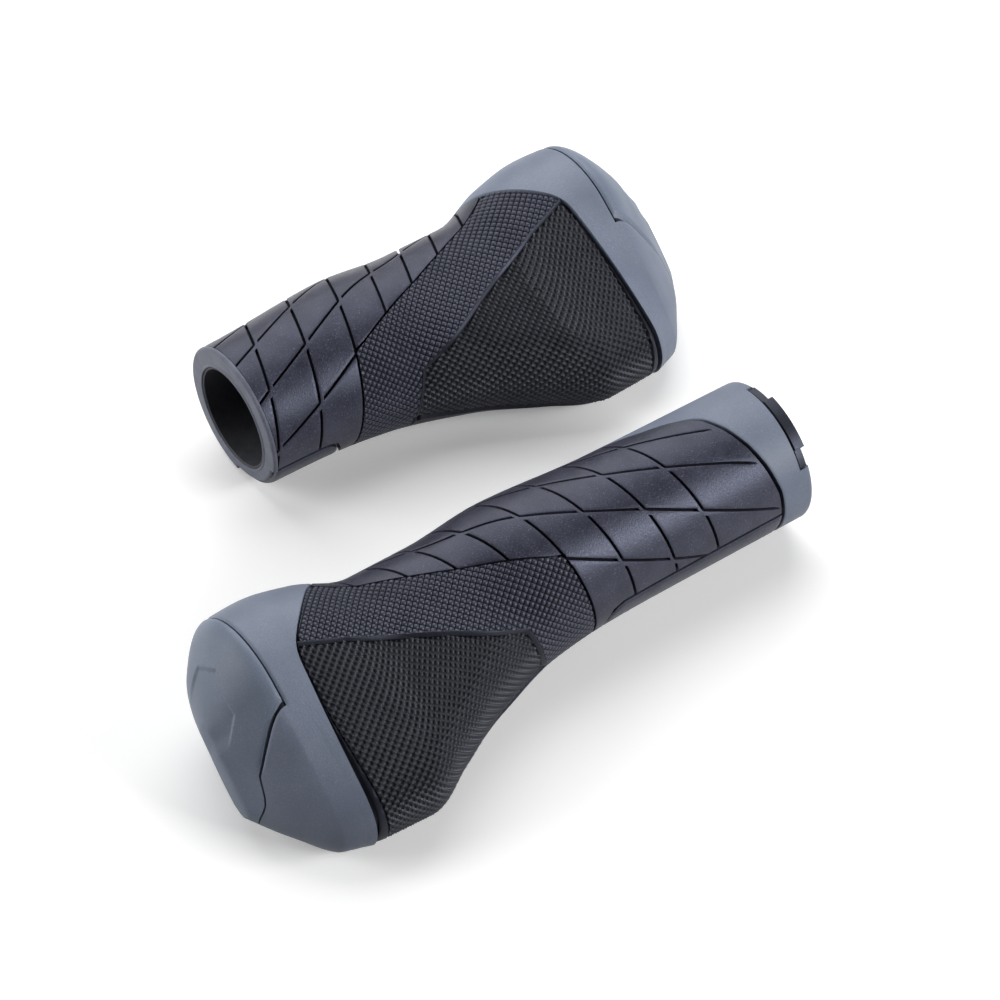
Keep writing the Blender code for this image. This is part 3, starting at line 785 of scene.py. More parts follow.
# %% One mesh of the net, repeated
PALM_PITCH = 1.27
KNOB = 0.24                 # how far the knobs stand over the strands
PIT_RIM = 0.62
PIT = 0.80
PIT_SHOULDER = 0.64         # share of the half pitch where the pit's rim lies
PALM_SHADE_DEPTH = 1.8            # depth at which the palm's painted shade would be quite black
PALM_MIDDLE = 8.0


def mesh_of_net(x, y):
    """Knobs at the corners, sagging strands along the edges, a pit in the middle."""
    along, across = np.minimum(x, y), np.maximum(x, y)
    strand = -KNOB * (1 - along**3)
    pit = np.where(across > PIT_SHOULDER / 2, -PIT_RIM, -PIT)
    return np.where(across > TILE_EDGE, strand, pit) - PALM_SINK


palm_pad = add_tile(PALM_PITCH, [0.0, PIT_SHOULDER, 1.0], mesh_of_net)
palm_flat = lay_flat(palm_outline(), PALM_MIDDLE)
print("meshes in the sheet:", add_lattice(palm_pad, PALM_PITCH, palm_flat))

# %% Trim and wrap the palm pad
trim(palm_pad, palm_flat)
# The palm's pits get painted shade from this depth.
mark_depth_for_shade(palm_pad, -PALM_SINK, PALM_SHADE_DEPTH)
wrap_by_arc(palm_pad, PALM_MIDDLE)
settle_pair(palm_pad, "palm_mesh", palm_rubber, MESH_SMOOTH, node="palm_pad", slot="palm_rubber")

# %% [markdown]
# ### Edge band
# The palm pad lies a little lower than the fine panel. A smooth band slopes down to it along the crease
# and round the pad's inboard corner, with a rounded lip that catches the light. It is a grid of which one
# direction follows the crease and the other a small profile.

# %% Edge bands
BAND_PROFILE = (
    (-0.50, -1.0), (-0.44, -0.62), (-0.32, -0.48), (0.02, -0.20),
    (0.16, -0.08), (0.28, -0.06), (0.42, -0.13), (0.50, -0.7),
)


def add_ribbon(path, profile, middle):
    """A closed ribbon along a path on the map, with a profile of (offset, height) across it."""
    flat = lay_flat(path, middle)
    ahead = np.gradient(flat, axis=0)
    ahead /= np.linalg.norm(ahead, axis=1, keepdims=True)
    beside = np.column_stack([-ahead[:, 1], ahead[:, 0]])
    ribbon, i, j = add_grid(len(path), len(profile))
    offset, height = np.array(profile)[j].T
    write(ribbon, np.column_stack([flat[i] + beside[i] * offset[:, None], height]))
    thicken(ribbon)
    wrap_by_arc(ribbon, middle)
    return ribbon


band = add_ribbon(crease_path(), BAND_PROFILE, PALM_MIDDLE)
settle_pair(band, "edge_band", band_rubber, 50.0, slot="black_rubber")

# %% [markdown]
# ## Diamonds
# The rest of the sleeve is smooth rubber with two families of grooves that part it into long diamonds. A
# groove isn't cut to the next one: each stops a little short, so the diamonds hang together at their
# tips. The sheet is a grid whose lines are bunched beside every groove, so that its walls stay crisp.

# %% Grid lines beside the grooves
GROOVE_WIDTH = 0.62
GROOVE_DEPTH = 0.90
GROOVE_FLOOR = 0.38         # half of the groove's floor, as a share of its width
GROOVE_LIP = 0.25           # width of the softened lip
groove_steps = (GROOVE_FLOOR * GROOVE_WIDTH, GROOVE_WIDTH / 2, GROOVE_WIDTH / 2 + GROOVE_LIP)
GRID_STEP = 1.3
STEEP_SPREAD = 2.25         # change of the groove's constant for a millimetre across it
CROSS_SPREAD = 1.03
STEEP_BRIDGE = 0.95         # a groove of one family stops this far from the middle of the next of the other
CROSS_BRIDGE = 1.1
BRIDGE_SLOPE = 0.12
GROOVE_STOP = {"left": 2.3, "right": 0.2}   # the grooves end this far from the collar or the open end


def bunched(starts, low, high, spread, bridge):
    """Grid lines: six on each groove, two where the other family stops, and an even spread between."""
    flat, half, lip = groove_steps
    beside = np.array([-lip, -half, -flat, flat, half, lip, -bridge, -bridge - BRIDGE_SLOPE]) * spread
    lines = [low, high]
    for s in starts:
        lines += list(s + beside)
    bounds = [low, *starts, high]
    clear = (half + 0.7) * spread
    for a, b in zip(bounds, bounds[1:]):
        if b - a > 2 * clear:
            lines += list(np.linspace(a + clear, b - clear, max(2, int((b - a) / (GRID_STEP * spread)))))
    return np.unique(np.round([x for x in lines if low <= x <= high], 4))


def groove_depth(distance):
    """Flat floor, steep walls and a softened lip."""
    return np.interp(np.abs(distance), groove_steps, [1.0, 0.06, 0.0])


def runs(at, starts, spread, bridge):
    """1 where a groove runs on, 0 on the bridge before the next groove of the other family."""
    following = np.array([*starts, 1e6])[np.searchsorted(starts, at, side="right")]
    return np.interp((following - at) / spread, [bridge, bridge + BRIDGE_SLOPE], [0.0, 1.0])


def diamond_sheet(side):
    """Flat sheet with grooves, x the station and y the angle in map millimetres."""
    long_lines = bunched(STEEP_STARTS, 60.0, 300.0, STEEP_SPREAD, CROSS_BRIDGE)
    short_lines = bunched(CROSS_STARTS, 36.0, LENGTH[side] + 40.0, CROSS_SPREAD, STEEP_BRIDGE)
    sheet, i, j = add_grid(len(long_lines), len(short_lines))
    c, k = long_lines[i], short_lines[j]
    u, deg = crossing(c, k)
    depth = np.zeros(len(c))
    steep_family = (c, STEEP_STARTS, STEEP_SPREAD, CROSS_BRIDGE)
    cross_family = (k, CROSS_STARTS, CROSS_SPREAD, STEEP_BRIDGE)
    for (at, starts, spread, _), other in ((steep_family, cross_family), (cross_family, steep_family)):
        live = runs(*other)
        for s in starts:
            depth = np.maximum(depth, live * groove_depth((at - s) / spread))
    end = collar_edge(deg) if side == "left" else np.full(len(u), LENGTH[side])
    stop = GROOVE_STOP[side]
    depth *= np.interp(end - u, [stop, stop + 0.4], [0.0, 1.0])
    write(sheet, np.column_stack([u, deg * DEG_MM, -GROOVE_DEPTH * depth]))
    return sheet


# %% Trim and wrap the diamonds
for side in SIGN:
    diamonds = diamond_sheet(side)
    trim(diamonds, diamond_outline(side) * (1.0, DEG_MM))
    # The grooves get painted shade from this depth.
    mark_depth_for_shade(diamonds, 0.0, 0.6 * GROOVE_DEPTH)
    wrap_by_angle(diamonds)
    settle(diamonds, side, "diamonds", diamond_rubber, 30.0, slot="black_rubber")

# %% [markdown]
# ## Sleeve
# Underneath the panels lies the sleeve itself, a smooth rubber tube. It comes up to the surface where no
# panel covers it: in the wedge beside the shoulder, the bead before the collar and the underside of the
# wing. A torus has just the faces of such a wall, once round and once through the thickness, so its
# points are moved to it.

# %% A wall from a torus
def add_wall(rings):
    """A closed wall through a loop of rings: a torus whose points are carried to them."""
    rows, columns = rings.shape[:2]
    wall = add(bpy.ops.mesh.primitive_torus_add, major_segments=columns, minor_segments=rows)
    write(wall, rings.transpose(1, 0, 2).reshape(-1, 3))
    face_out(wall)
    return wall


def round_bar(columns):
    """Angles once round the bar, from the bottom."""
    return np.arange(columns) * 360.0 / columns - 90.0


def inside_by(outline, u, deg):
    """Distance of map points from an outline in millimetres, positive inside."""
    p = np.column_stack([u.ravel(), deg.ravel() * DEG_MM])
    a = outline * (1.0, DEG_MM)
    b = np.roll(a, -1, axis=0)
    nearest = np.full(len(p), 1e9)
    crossings = np.zeros(len(p), int)
    for s, e in zip(a, b):
        d = e - s
        t = np.clip(((p - s) @ d) / max(d @ d, 1e-12), 0, 1)
        nearest = np.minimum(nearest, np.linalg.norm(p - s - t[:, None] * d, axis=1))
        straddles = (s[1] > p[:, 1]) != (e[1] > p[:, 1])
        if abs(d[1]) > 1e-12:
            crossings += straddles & (p[:, 0] < s[0] + (p[:, 1] - s[1]) / d[1] * d[0])
    return np.where(crossings % 2 == 1, nearest, -nearest).reshape(u.shape)


def strip_outline(side):
    top = STRIP_TOP[side]
    if side == "left":
        far = [(collar_edge(d) - SEAM, d) for d in np.linspace(-90.0, top, 12)]
    else:
        far = [(LENGTH["right"] - RIM, -90.0), (LENGTH["right"] - RIM, top)]
    start = STRIP_START[side]
    corner = [(start + 6.2, top), (start + 4.6, top - 2.0), (start + 3.0, top - 9.0), (start + 2.0, -40.0)]
    return np.array([(start, -90.0)] + far + corner)


# %% [markdown]
# ### Well for the clamp bolt
# A clamp under the shoulder holds the grip on the bar, and its bolt is reached with a hex key from below.
# The well for the key passes through the edge of the sleeve, the shoulder and the core, so all three are
# cut by the same upright cylinder.

# %% The bolt's axis
CLAMP_MIDDLE = 17.6
BOLT_REACH = BORE_RADIUS + 5.5
ACCESS_RADIUS = 4.4
EAR_BOTTOM = -8.5           # the bolt's head rests below the clamp's ears
WELL_TOP = EAR_BOTTOM + 0.8
FAR = 40.0                  # past the end of every piece, for tools that cut right through


def add_cylinder(radius, low, high, vertices, **place):
    """A cylinder between two heights, moved or turned into place."""
    shape = {"vertices": vertices, "radius": radius, "depth": high - low}
    cylinder = add(bpy.ops.mesh.primitive_cylinder_add, **shape, **place)
    bpy.ops.object.transform_apply()
    return cylinder


def add_upright(radius, low, high, vertices=48):
    """A cylinder along the clamp bolt's axis."""
    return add_cylinder(radius, low, high, vertices, location=(CLAMP_MIDDLE, BOLT_REACH, (low + high) / 2))


# %% Sleeve walls
SLEEVE_BED = 1.3            # how deep the sleeve lies under the panels
BED_SLOPE = (-0.45, -0.1)   # distances from a panel's edge between which it sinks to that
END_ROUND = 0.5
END_DROP = 0.35
WEDGE_SINK = 0.45           # the smooth wedge beside the shoulder lies a little lower than the pad
WEDGE_DEG = 15.0
WEDGE_HALF = (40.0, 55.0)   # degrees from its middle between which the wedge runs out
WEDGE_REACH = (3.2, 4.5)
STRIP_DITCH = 1.2           # the sleeve stays low this far round the strip
BAND_HALF = (0.5, 0.6 / DEG_MM)
sleeve_deg = round_bar(260)
for side in SIGN:
    start = shoulder_edge(sleeve_deg) + SEAM
    end = collar_edge(sleeve_deg) - SEAM if side == "left" else LENGTH["right"] - RIM + 0.0 * sleeve_deg
    near, far = np.linspace(0, 0.06, 24), np.linspace(0.96, 1, 12)
    shares = np.concatenate([near, np.linspace(0.06, 0.96, 130)[1:-1], far])
    u = start + (end - start) * shares[:, None]
    deg = np.broadcast_to(sleeve_deg, u.shape)
    cover = np.full(u.shape, -9.0)
    band_outline = np.concatenate([crease_path() + BAND_HALF, crease_path()[::-1] - BAND_HALF])
    panels = (fine_outline(), palm_outline(), diamond_outline(side), band_outline)
    for outline, margin in [(panel, 0.0) for panel in panels] + [(strip_outline(side), STRIP_DITCH)]:
        for turn in (-360.0, 0.0, 360.0):
            cover = np.maximum(cover, inside_by(outline + (0.0, turn), u, deg) + margin)
    height = -np.interp(cover, BED_SLOPE, [0.0, SLEEVE_BED])
    height -= np.interp(np.minimum(u - start, end - u), [0.0, END_ROUND], [END_DROP, 0.0])
    wedge = np.interp(np.abs(deg - WEDGE_DEG), WEDGE_HALF, [1.0, 0.0])
    height -= WEDGE_SINK * wedge * np.interp(u - start, WEDGE_REACH, [1.0, 0.0])
    height = np.maximum(height, -SLEEVE_BED)
    outer = on_form(u, deg, height)
    flat_u = start + (end - start) * np.linspace(1, 0, 40)[:, None]
    inner = on_form(flat_u, np.broadcast_to(sleeve_deg, flat_u.shape), np.full(flat_u.shape, -SLEEVE_WALL))
    sleeve = add_wall(np.concatenate([outer, inner]))
    apply(sleeve, "TRIANGULATE")
    cut(sleeve, add_upright(ACCESS_RADIUS, -FAR, WELL_TOP))
    settle(sleeve, side, "sleeve_tube", plain_rubber, node="sleeve", slot="black_rubber")

# %% [markdown]
# ## Under strip
# A smooth strip runs along the lower rear edge of the tube and ends in a rounded corner. It is a grid,
# trimmed by its outline like the textured sheets, and its lip is rounded by lowering the points near the
# outline.

# %% Strips
STRIP_GRID = 0.5
STRIP_LIP = ((0.0, 0.3, 0.9), (-0.3, -0.12, 0.0))   # distances inside the outline, and heights there
for side in SIGN:
    outline = strip_outline(side)
    flat = outline * (1.0, DEG_MM)
    low, high = flat.min(axis=0) - 0.5, flat.max(axis=0) + 0.5
    columns, rows = ((high - low) / STRIP_GRID).astype(int) + 1
    strip, i, j = add_grid(columns, rows)
    x = low[0] + i / (columns - 1) * (high - low)[0]
    y = low[1] + j / (rows - 1) * (high - low)[1]
    lip = inside_by(outline, x, y / DEG_MM)
    write(strip, np.column_stack([x, y, np.interp(lip, *STRIP_LIP)]))
    trim(strip, flat)
    wrap_by_angle(strip)
    settle(strip, side, "lower_strip", diamond_rubber, node="under_strip", slot="strip_rubber")

# %% [markdown]
# ## Grey end: shoulder and cap
# The outboard end is one smooth shell that is parted along a V-shaped seam, so the cap can be pulled off
# the bar. A sphere has the faces of a closed cup: one pole becomes the middle of the end, the other the
# inside. Bisecting it beside the seam gives edges that can be lowered a little, and the seam gets its
# rounded lips.

# %% The shell
CAP_DEPTH = 12.3
CAP_GAP = 0.35
END_WALL = 6.5
DOME = 14.0
RIDGE_AT = 11.5             # a soft ridge parts the shoulder's band from its end face
RIDGE_REACH = 4.0
RIDGE_RISE = 0.55
shell_deg = round_bar(288)
shell_edge = shoulder_edge(shell_deg)


def ring_at(u, depth=0.0):
    """One ring of the form, at a station that may differ round it, with the ridge on the outside."""
    ring = section(np.broadcast_to(u, shell_deg.shape), shell_deg, depth)
    if depth == 0.0:
        tent = np.clip(1 - np.abs(ring[:, 0] - RIDGE_AT) / RIDGE_REACH, 0, 1)
        rise = RIDGE_RISE * tent * np.interp(shell_deg, [-60, -20, 25, 48], [0, 1, 1, 0])
        ring[:, 1:] *= (1 + rise / np.hypot(ring[:, 1], ring[:, 2]))[:, None]
    return ring


def shell_rings():
    """Rings from the middle of the end over the outside to the edge, and back inside."""
    rings = []
    first = ring_at(0.0)
    middle = first.mean(axis=0)
    for share, bulge in ((0.25, -0.34), (0.5, -0.30), (0.75, -0.2), (0.9, -0.1)):
        inner = middle + (first - middle) * share
        inner[:, 0] = bulge
        rings.append(inner)
    face, band = np.linspace(4.4, RIDGE_AT, 20), np.linspace(RIDGE_AT + 0.4, DOME, 7)
    rings += [ring_at(u) for u in np.concatenate([np.linspace(0.15, 4.0, 16), face, band])]
    for share in np.concatenate([np.linspace(0.05, 0.94, 26), [0.97, 0.99]]):
        rings.append(ring_at(DOME + (shell_edge - DOME) * share))
    rings += [ring_at(shell_edge, depth) for depth in (0.15, 0.5, 1.2, SLEEVE_WALL)]
    for share in np.linspace(0.95, 0.0, 14):
        rings.append(ring_at(DOME + (shell_edge - DOME) * share, SLEEVE_WALL))
    for u in np.linspace(DOME - 0.8, END_WALL, 10):
        share = u / DOME
        behind = ring_at(u - 1.5 * (1 - share), SLEEVE_WALL * (0.6 + 0.4 * share))
        behind[:, 0] = u
        rings.append(behind)
    last = rings[-1]
    for share in (0.7, 0.35):
        rings.append(last.mean(axis=0) + (last - last.mean(axis=0)) * share)
    return np.array(rings), np.array([-0.35, *middle[1:]]), last.mean(axis=0)


def add_cup(rings, first_pole, last_pole):
    """A closed cup: a sphere whose rings and poles are carried to the given ones."""
    rows, columns = rings.shape[:2]
    cup = add(bpy.ops.mesh.primitive_uv_sphere_add, segments=columns, ring_count=rows + 1)
    x, y, z = read(cup).T
    row = np.round(np.arccos(np.clip(z, -1, 1)) / math.pi * (rows + 1)).astype(int)
    column = np.round(np.arctan2(y, x) / (2 * math.pi) * columns).astype(int) % columns
    places = rings[np.clip(row - 1, 0, rows - 1), column]
    places[row == 0] = first_pole
    places[row == rows + 1] = last_pole
    write(cup, places)
    face_out(cup)
    return cup


shell = add_cup(*shell_rings())
print("grey shell:", triangles(shell), "triangles")

# %% The seam's rounded lips
REAR_LINES = {"cap": (13.75, 0.28), "shoulder": (14.25, 0.255)}   # rear edge at the bar axis, and its lean
LIP = 0.7                   # width of the rounded lip on both sides of the seam
LIP_DROP = 0.3
LIP_LINES = (0.05, 0.2, 0.4, LIP)


def behind(places, part):
    """How far points lie behind the rear edge of the cap, or of the shoulder's opening."""
    at, lean = REAR_LINES[part]
    return (places[:, 1] - at + lean * places[:, 2]) / math.hypot(1.0, lean)


def slice_at(obj, point, normal):
    """Add edges to a mesh where a plane crosses it."""
    edit(obj)
    bpy.ops.mesh.bisect(plane_co=point, plane_no=normal)
    leave_edit()


for line in LIP_LINES:
    slice_at(shell, (CAP_DEPTH - line, 0, 0), (1, 0, 0))
    slice_at(shell, (CAP_DEPTH + CAP_GAP + line, 0, 0), (1, 0, 0))
    for part, way in (("cap", -1), ("shoulder", 1)):
        at, lean = REAR_LINES[part]
        across_edge = Vector((0.0, 1.0, lean)).normalized()
        slice_at(shell, Vector((0.0, at, 0.0)) + across_edge * way * line, across_edge)


def lower(obj, drop):
    """Move points inwards along their normals."""
    write(obj, read(obj) - point_normals(obj) * drop[:, None])


def point_normals(obj):
    normal = np.empty(len(obj.data.vertices) * 3)
    obj.data.vertices.foreach_get("normal", normal)
    return normal.reshape(-1, 3)


places = read(shell)
deg = np.degrees(np.arctan2(places[:, 2], places[:, 1]))
skin = section(np.maximum(places[:, 0], 0.0), deg)
outside = np.hypot(*places[:, 1:].T) > np.hypot(*skin[:, 1:].T) - 0.6
off = places[:, 0] - CAP_DEPTH
upper_arm = np.interp(off, [-LIP, 0.0, CAP_GAP, CAP_GAP + LIP], [0.0, 1.0, 1.0, 0.0])
upper_arm *= np.interp(behind(places, "shoulder"), [0.0, LIP], [1.0, 0.0])
rear_arm = np.minimum(
    np.interp(behind(places, "cap"), [-LIP, 0.0], [0.0, 1.0]),
    np.interp(behind(places, "shoulder"), [0.0, LIP], [1.0, 0.0]),
)
rear_arm *= np.interp(off, [CAP_GAP, CAP_GAP + LIP], [1.0, 0.0])
rear_arm *= np.interp(places[:, 2], [0.0, 3.0], [0.0, 1.0])
lower(shell, np.where(outside, LIP_DROP * np.maximum(upper_arm, rear_arm) ** 2, 0.0))
print("shell with lips:", triangles(shell), "triangles")

# %% [markdown]
# ### The sunk panel
# The cap's face has a shallow hexagonal panel, left bare, that runs out towards its lower edge. Its rim
# is a slope between two outlines: the shell is sliced along both, and the points inside are lowered.

# %% Sink the panel
PANEL = np.array([(-9.6, 11.5), (-4.0, 14.8), (4.9, 10.5), (6.6, 3.2), (1.5, -3.5), (-9.5, 1.5)])
PANEL_SLOPE = 0.55
PANEL_DEPTH = 0.4


def panel_edges():
    """A point on each edge of the panel and the direction to its inside, in (v, w)."""
    for start, end in zip(PANEL, np.roll(PANEL, -1, axis=0)):
        along = (end - start) / np.linalg.norm(end - start)
        yield start, np.array([along[1], -along[0]])


for start, inward in panel_edges():
    for step in (0.0, PANEL_SLOPE):
        slice_at(shell, (0.0, *(start + inward * step)), (0.0, *inward))
places = read(shell)
inside = np.array([(places[:, 1:] - start) @ inward for start, inward in panel_edges()])
sunk = PANEL_DEPTH * np.interp(inside.min(axis=0), [0.0, PANEL_SLOPE], [0.0, 1.0])
fade = np.clip(np.minimum(inside[3] / 3.5, inside[4] / 7.0), 0.0, 1.0)
sunk *= fade**2 * (3 - 2 * fade)
lower(shell, np.where(point_normals(shell)[:, 0] < -0.15, sunk, 0.0))
print("panel sunk by, mm:", PANEL_DEPTH)

# %% Part the cap from the shoulder
TONGUE = (
    (0.9, -1.3), (1.4, -2.9), (1.5, -4.4), (1.0, -6.0),
    (-0.4, -8.6), (-2.3, -11.5), (-4.6, -14.5), (-8.0, -18.0),
)


def lay_along(obj):
    """Turn a body drawn over (v, w) so that its height runs along the bar."""
    v, w, u = read(obj).T
    write(obj, np.column_stack([u, v, w]))
    face_out(obj)
    return obj


def cap_block(part, depth):
    """The region of the end that the cap takes: a straight rear edge that ends in a rounded tongue."""
    at, lean = REAR_LINES[part]
    tongue = [(at - lean * w + bulge, w) for bulge, w in TONGUE]
    upper = [(-FAR, FAR), (at - lean * FAR, FAR), (at - lean * 1.0, 1.0)]
    outline = np.array([*upper, *tongue, (tongue[-1][0], -FAR), (-FAR, -FAR)])
    return lay_along(add_prism(outline, -FAR, depth))


SHADE_STRIP_SIDES = ((REAR_LINES["cap"], 0.08), (REAR_LINES["shoulder"], -0.06))
SHADE_STRIP_SPAN = (0.8, 30.0)
SHADE_STRIP_SINK = 0.7           # a black strip in the rear gap, as painted shade of the seam, lies this far below the skin
apply(shell, "TRIANGULATE")
cap = twin(shell)
seam_shade_strip = twin(shell)
shoulder = shell
cut(shoulder, cap_block("shoulder", CAP_DEPTH + CAP_GAP))
cut(shoulder, add_upright(ACCESS_RADIUS, -FAR, WELL_TOP))
cut(cap, cap_block("cap", CAP_DEPTH), "INTERSECT")
# A black strip laid into the rear gap paints the seam's shade as a dark line.
near, far = ([(at - lean * w + inset, w) for w in SHADE_STRIP_SPAN] for (at, lean), inset in SHADE_STRIP_SIDES)
cut(seam_shade_strip, lay_along(add_prism(np.array(near + far[::-1]), -FAR, CAP_DEPTH - SHADE_STRIP_SINK)), "INTERSECT")
write(seam_shade_strip, read(seam_shade_strip) + (SHADE_STRIP_SINK, 0.0, 0.0))
settle_pair(seam_shade_strip, "seam_gasket", plain_rubber, slot="black_rubber")
settle_pair(shoulder, "grey_shoulder", grey_rubber, node="shoulder", slot="grey_rubber")

# %% [markdown]
# ### Plug
# Inside, the cap carries a hollow plug with two low ribs that hold it in the bar. It is turned: a profile
# goes once round the bar. The CAD gives its sizes, and a union makes it one piece with the cap.

# %% The cap with its plug
PLUG_RADIUS = 9.0
PLUG_WALL = 1.8
PLUG_END = 30.0
RIBS = (20.0, 26.0)
RIB_PROFILE = ((-0.9, 0.0), (-0.4, 0.33), (0.0, 0.4), (0.4, 0.33), (0.9, 0.0))


def turned(profile, deg):
    """Rings of a profile of (radius, station) turned about the bar, with a point at every angle."""
    turn = np.radians(deg)
    across_bar = np.column_stack([0.0 * turn, np.cos(turn), np.sin(turn)])
    return np.array([across_bar * radius + (at, 0.0, 0.0) for radius, at in profile])


inner = PLUG_RADIUS - PLUG_WALL
profile = [(inner, END_WALL - 0.5), (PLUG_RADIUS, END_WALL - 0.5)]
for at in RIBS:
    profile += [(PLUG_RADIUS + rise, at + step) for step, rise in RIB_PROFILE]
profile += [(PLUG_RADIUS, PLUG_END - 0.5), (PLUG_RADIUS - 0.5, PLUG_END), (inner, PLUG_END)]
cut(cap, add_wall(turned(profile, round_bar(96))), "UNION")
settle_pair(cap, "grey_cap", grey_plastic, body="cap", node="end_cap", slot="grey_plastic")

# %% [markdown]
# ## Collar and badge
# The long grip ends in a grey collar that sweeps back over the front, and a small black badge is let into
# its end. The badge is bare. The collar is a wall of the form, the badge two bent blocks, and its bed is
# cut with a block a little larger than it.

# %% Blocks that follow the form
def add_cube(cuts):
    """A cube of size 1, subdivided."""
    cube = add(bpy.ops.mesh.primitive_cube_add, size=1.0)
    edit(cube)
    bpy.ops.mesh.subdivide(number_cuts=cuts)
    leave_edit()
    return cube


def ease(obj, width, segments=2, angle=50.0):
    """Round the edges that turn by more than an angle."""
    turn = math.radians(angle)
    apply(obj, "BEVEL", width=width, segments=segments, limit_method="ANGLE", angle_limit=turn)


def add_bent_block(u, deg, heights, rounding=0.0):
    """A subdivided cube, eased along its edges and bent to the form."""
    block = add_cube(24)
    low, high = np.column_stack([u, np.array(deg) * DEG_MM, heights])
    write(block, low + (read(block) + 0.5) * (high - low))
    if rounding:
        ease(block, rounding, 3, 60.0)
    x, y, z = read(block).T
    bent = on_form(np.minimum(x, FORM_END), y / DEG_MM, z)
    bent[:, 0] += np.maximum(x - FORM_END, 0.0)
    write(block, bent)
    face_out(block)
    return block


# %% Collar
COLLAR_ROUND = 1.0
collar_deg = round_bar(240)
edge = collar_edge(collar_deg)
collar_end = LENGTH["left"] + np.interp(collar_deg, [20.0, 80.0, 200.0, 270.0], [0.6, 0.0, 0.0, 0.6])
flank = collar_end - COLLAR_ROUND
rings = [section(edge + on, collar_deg, depth) for on, depth in ((0.0, 1.0), (0.0, 0.35), (0.08, 0.12))]
rings += [section(edge + 0.3 + (flank - edge - 0.3) * share, collar_deg) for share in np.linspace(0, 1, 24)]
for part in range(10, 100, 10):
    bend = math.radians(part)
    at = flank + COLLAR_ROUND * math.sin(bend)
    rings.append(section(at, collar_deg, COLLAR_ROUND * (1 - math.cos(bend))))
rings += [section(collar_end, collar_deg, SLEEVE_WALL)]
rings += [section(edge + (flank - edge) * share, collar_deg, SLEEVE_WALL) for share in np.linspace(1, 0, 14)]
collar = add_wall(np.array(rings))
BADGE_START = LENGTH["left"] - 1.6
BADGE_DEG = (25.0, 105.0)
BLOCK_DEG = (40.0, 86.0)
BLOCK_PROUD = 0.8
bed_deg = (BADGE_DEG[0] - 1.0, BADGE_DEG[1] + 1.0)
cut(collar, add_bent_block((BADGE_START - 0.3, LENGTH["left"] + 9.0), bed_deg, (-3.6, 1.0)))
settle(collar, "left", "grey_collar", grey_rubber, node="collar", slot="grey_rubber")

# %% Badge
badge = add_bent_block((BADGE_START, LENGTH["left"]), BADGE_DEG, (-SLEEVE_WALL, -0.25), 0.25)
block = add_bent_block((BADGE_START + 0.12, LENGTH["left"] + BLOCK_PROUD), BLOCK_DEG, (-1.6, 0.12), 0.35)
cut(badge, block, "UNION")
settle(badge, "left", "bare_badge", badge_plastic, node="badge", slot="badge_plastic")

# %% [markdown]
# ## Core
# A hard nylon core gives the grip its shape and slides over the bar. Its round bore shows at the open
# end. The outside follows the form under the sleeve, with a hollow for the gel pad, and the outboard end
# has room for the clamp. The hollow is a matter of lowering points; the rooms are cut with plain bodies.

# %% Gel hollow and core walls
CORE_START = 13.0
GEL_SPAN = (27.0, 57.0)
GEL_LOW = -12.0
GEL_INSET = 11.0            # degrees below the crease
GEL_DEPTH = 2.5
GEL_ROOM = 0.35             # room under the gel pad
core_deg = round_bar(180)


def gel_outline(margin):
    u = np.linspace(GEL_SPAN[0] - margin, GEL_SPAN[1] + margin, 16)
    high = [(a, crease(a) - GEL_INSET + margin / DEG_MM) for a in u]
    low = [(a, GEL_LOW - margin / DEG_MM) for a in u[::-1]]
    return np.array(high + low)


def add_slab(low, high, start, end):
    """A rectangular body along the bar, between two corners (v, w)."""
    outline = np.array([low, (high[0], low[1]), high, (low[0], high[1])])
    return lay_along(add_prism(outline, start, end))


def add_along(radius, low, high):
    """A cylinder along the bar."""
    place = {"location": ((low + high) / 2, 0.0, 0.0), "rotation": (0.0, math.radians(90), 0.0)}
    return add_cylinder(radius, low, high, 96, **place)


CLAMP_START = 13.2
CLAMP_END = 22.0
CLAMP_RADIUS = 13.1
CLAMP_FIT = 0.4             # room round the clamp
CLAMP_GAP = 0.35            # room beside it
EAR_REACH = 20.0
EAR_TOP = 3.0
for side in SIGN:
    length = LENGTH[side]
    end = length - 0.3 if side == "left" else length - RIM - 0.05
    u = np.linspace(CORE_START, end, 90)[:, None] + 0.0 * core_deg
    deg = np.broadcast_to(core_deg, u.shape)
    depth = GEL_DEPTH + CORE_GAP + GEL_ROOM
    hollow = np.interp(inside_by(gel_outline(0.5), u, deg), [-0.3, 0.3], [0.0, depth])
    outer = on_form(u, deg, -(SLEEVE_WALL + 0.05) - hollow)
    lip = [(0.45, length - 0.1), (0.35, length), (0.12, length), (0.0, length - 0.15), (0.0, 60.0)]
    if side == "right":
        lip.insert(0, (0.45, end))
    bore = turned([(BORE_RADIUS + wall, at) for wall, at in [*lip, (0.0, CORE_START)]], core_deg)
    core = add_wall(np.concatenate([outer, bore]))
    room_end = CLAMP_END + CLAMP_GAP
    cut(core, add_along(CLAMP_RADIUS + CLAMP_FIT, -FAR, room_end))
    ears_high = (EAR_REACH + CLAMP_FIT, EAR_TOP + CLAMP_FIT)
    cut(core, add_slab((0.0, EAR_BOTTOM - CLAMP_GAP), ears_high, -FAR, room_end))
    cut(core, add_upright(ACCESS_RADIUS, -FAR, WELL_TOP))
    settle(core, side, "bar_core", nylon, 30.0, node="core", slot="nylon")

# %% [markdown]
# ### Open rim
# At the short grip's open end the rubber turns over the core and leaves only the lip of the bore bare.
# The rim is thinner where the strip ends, which shows as a notch from below.

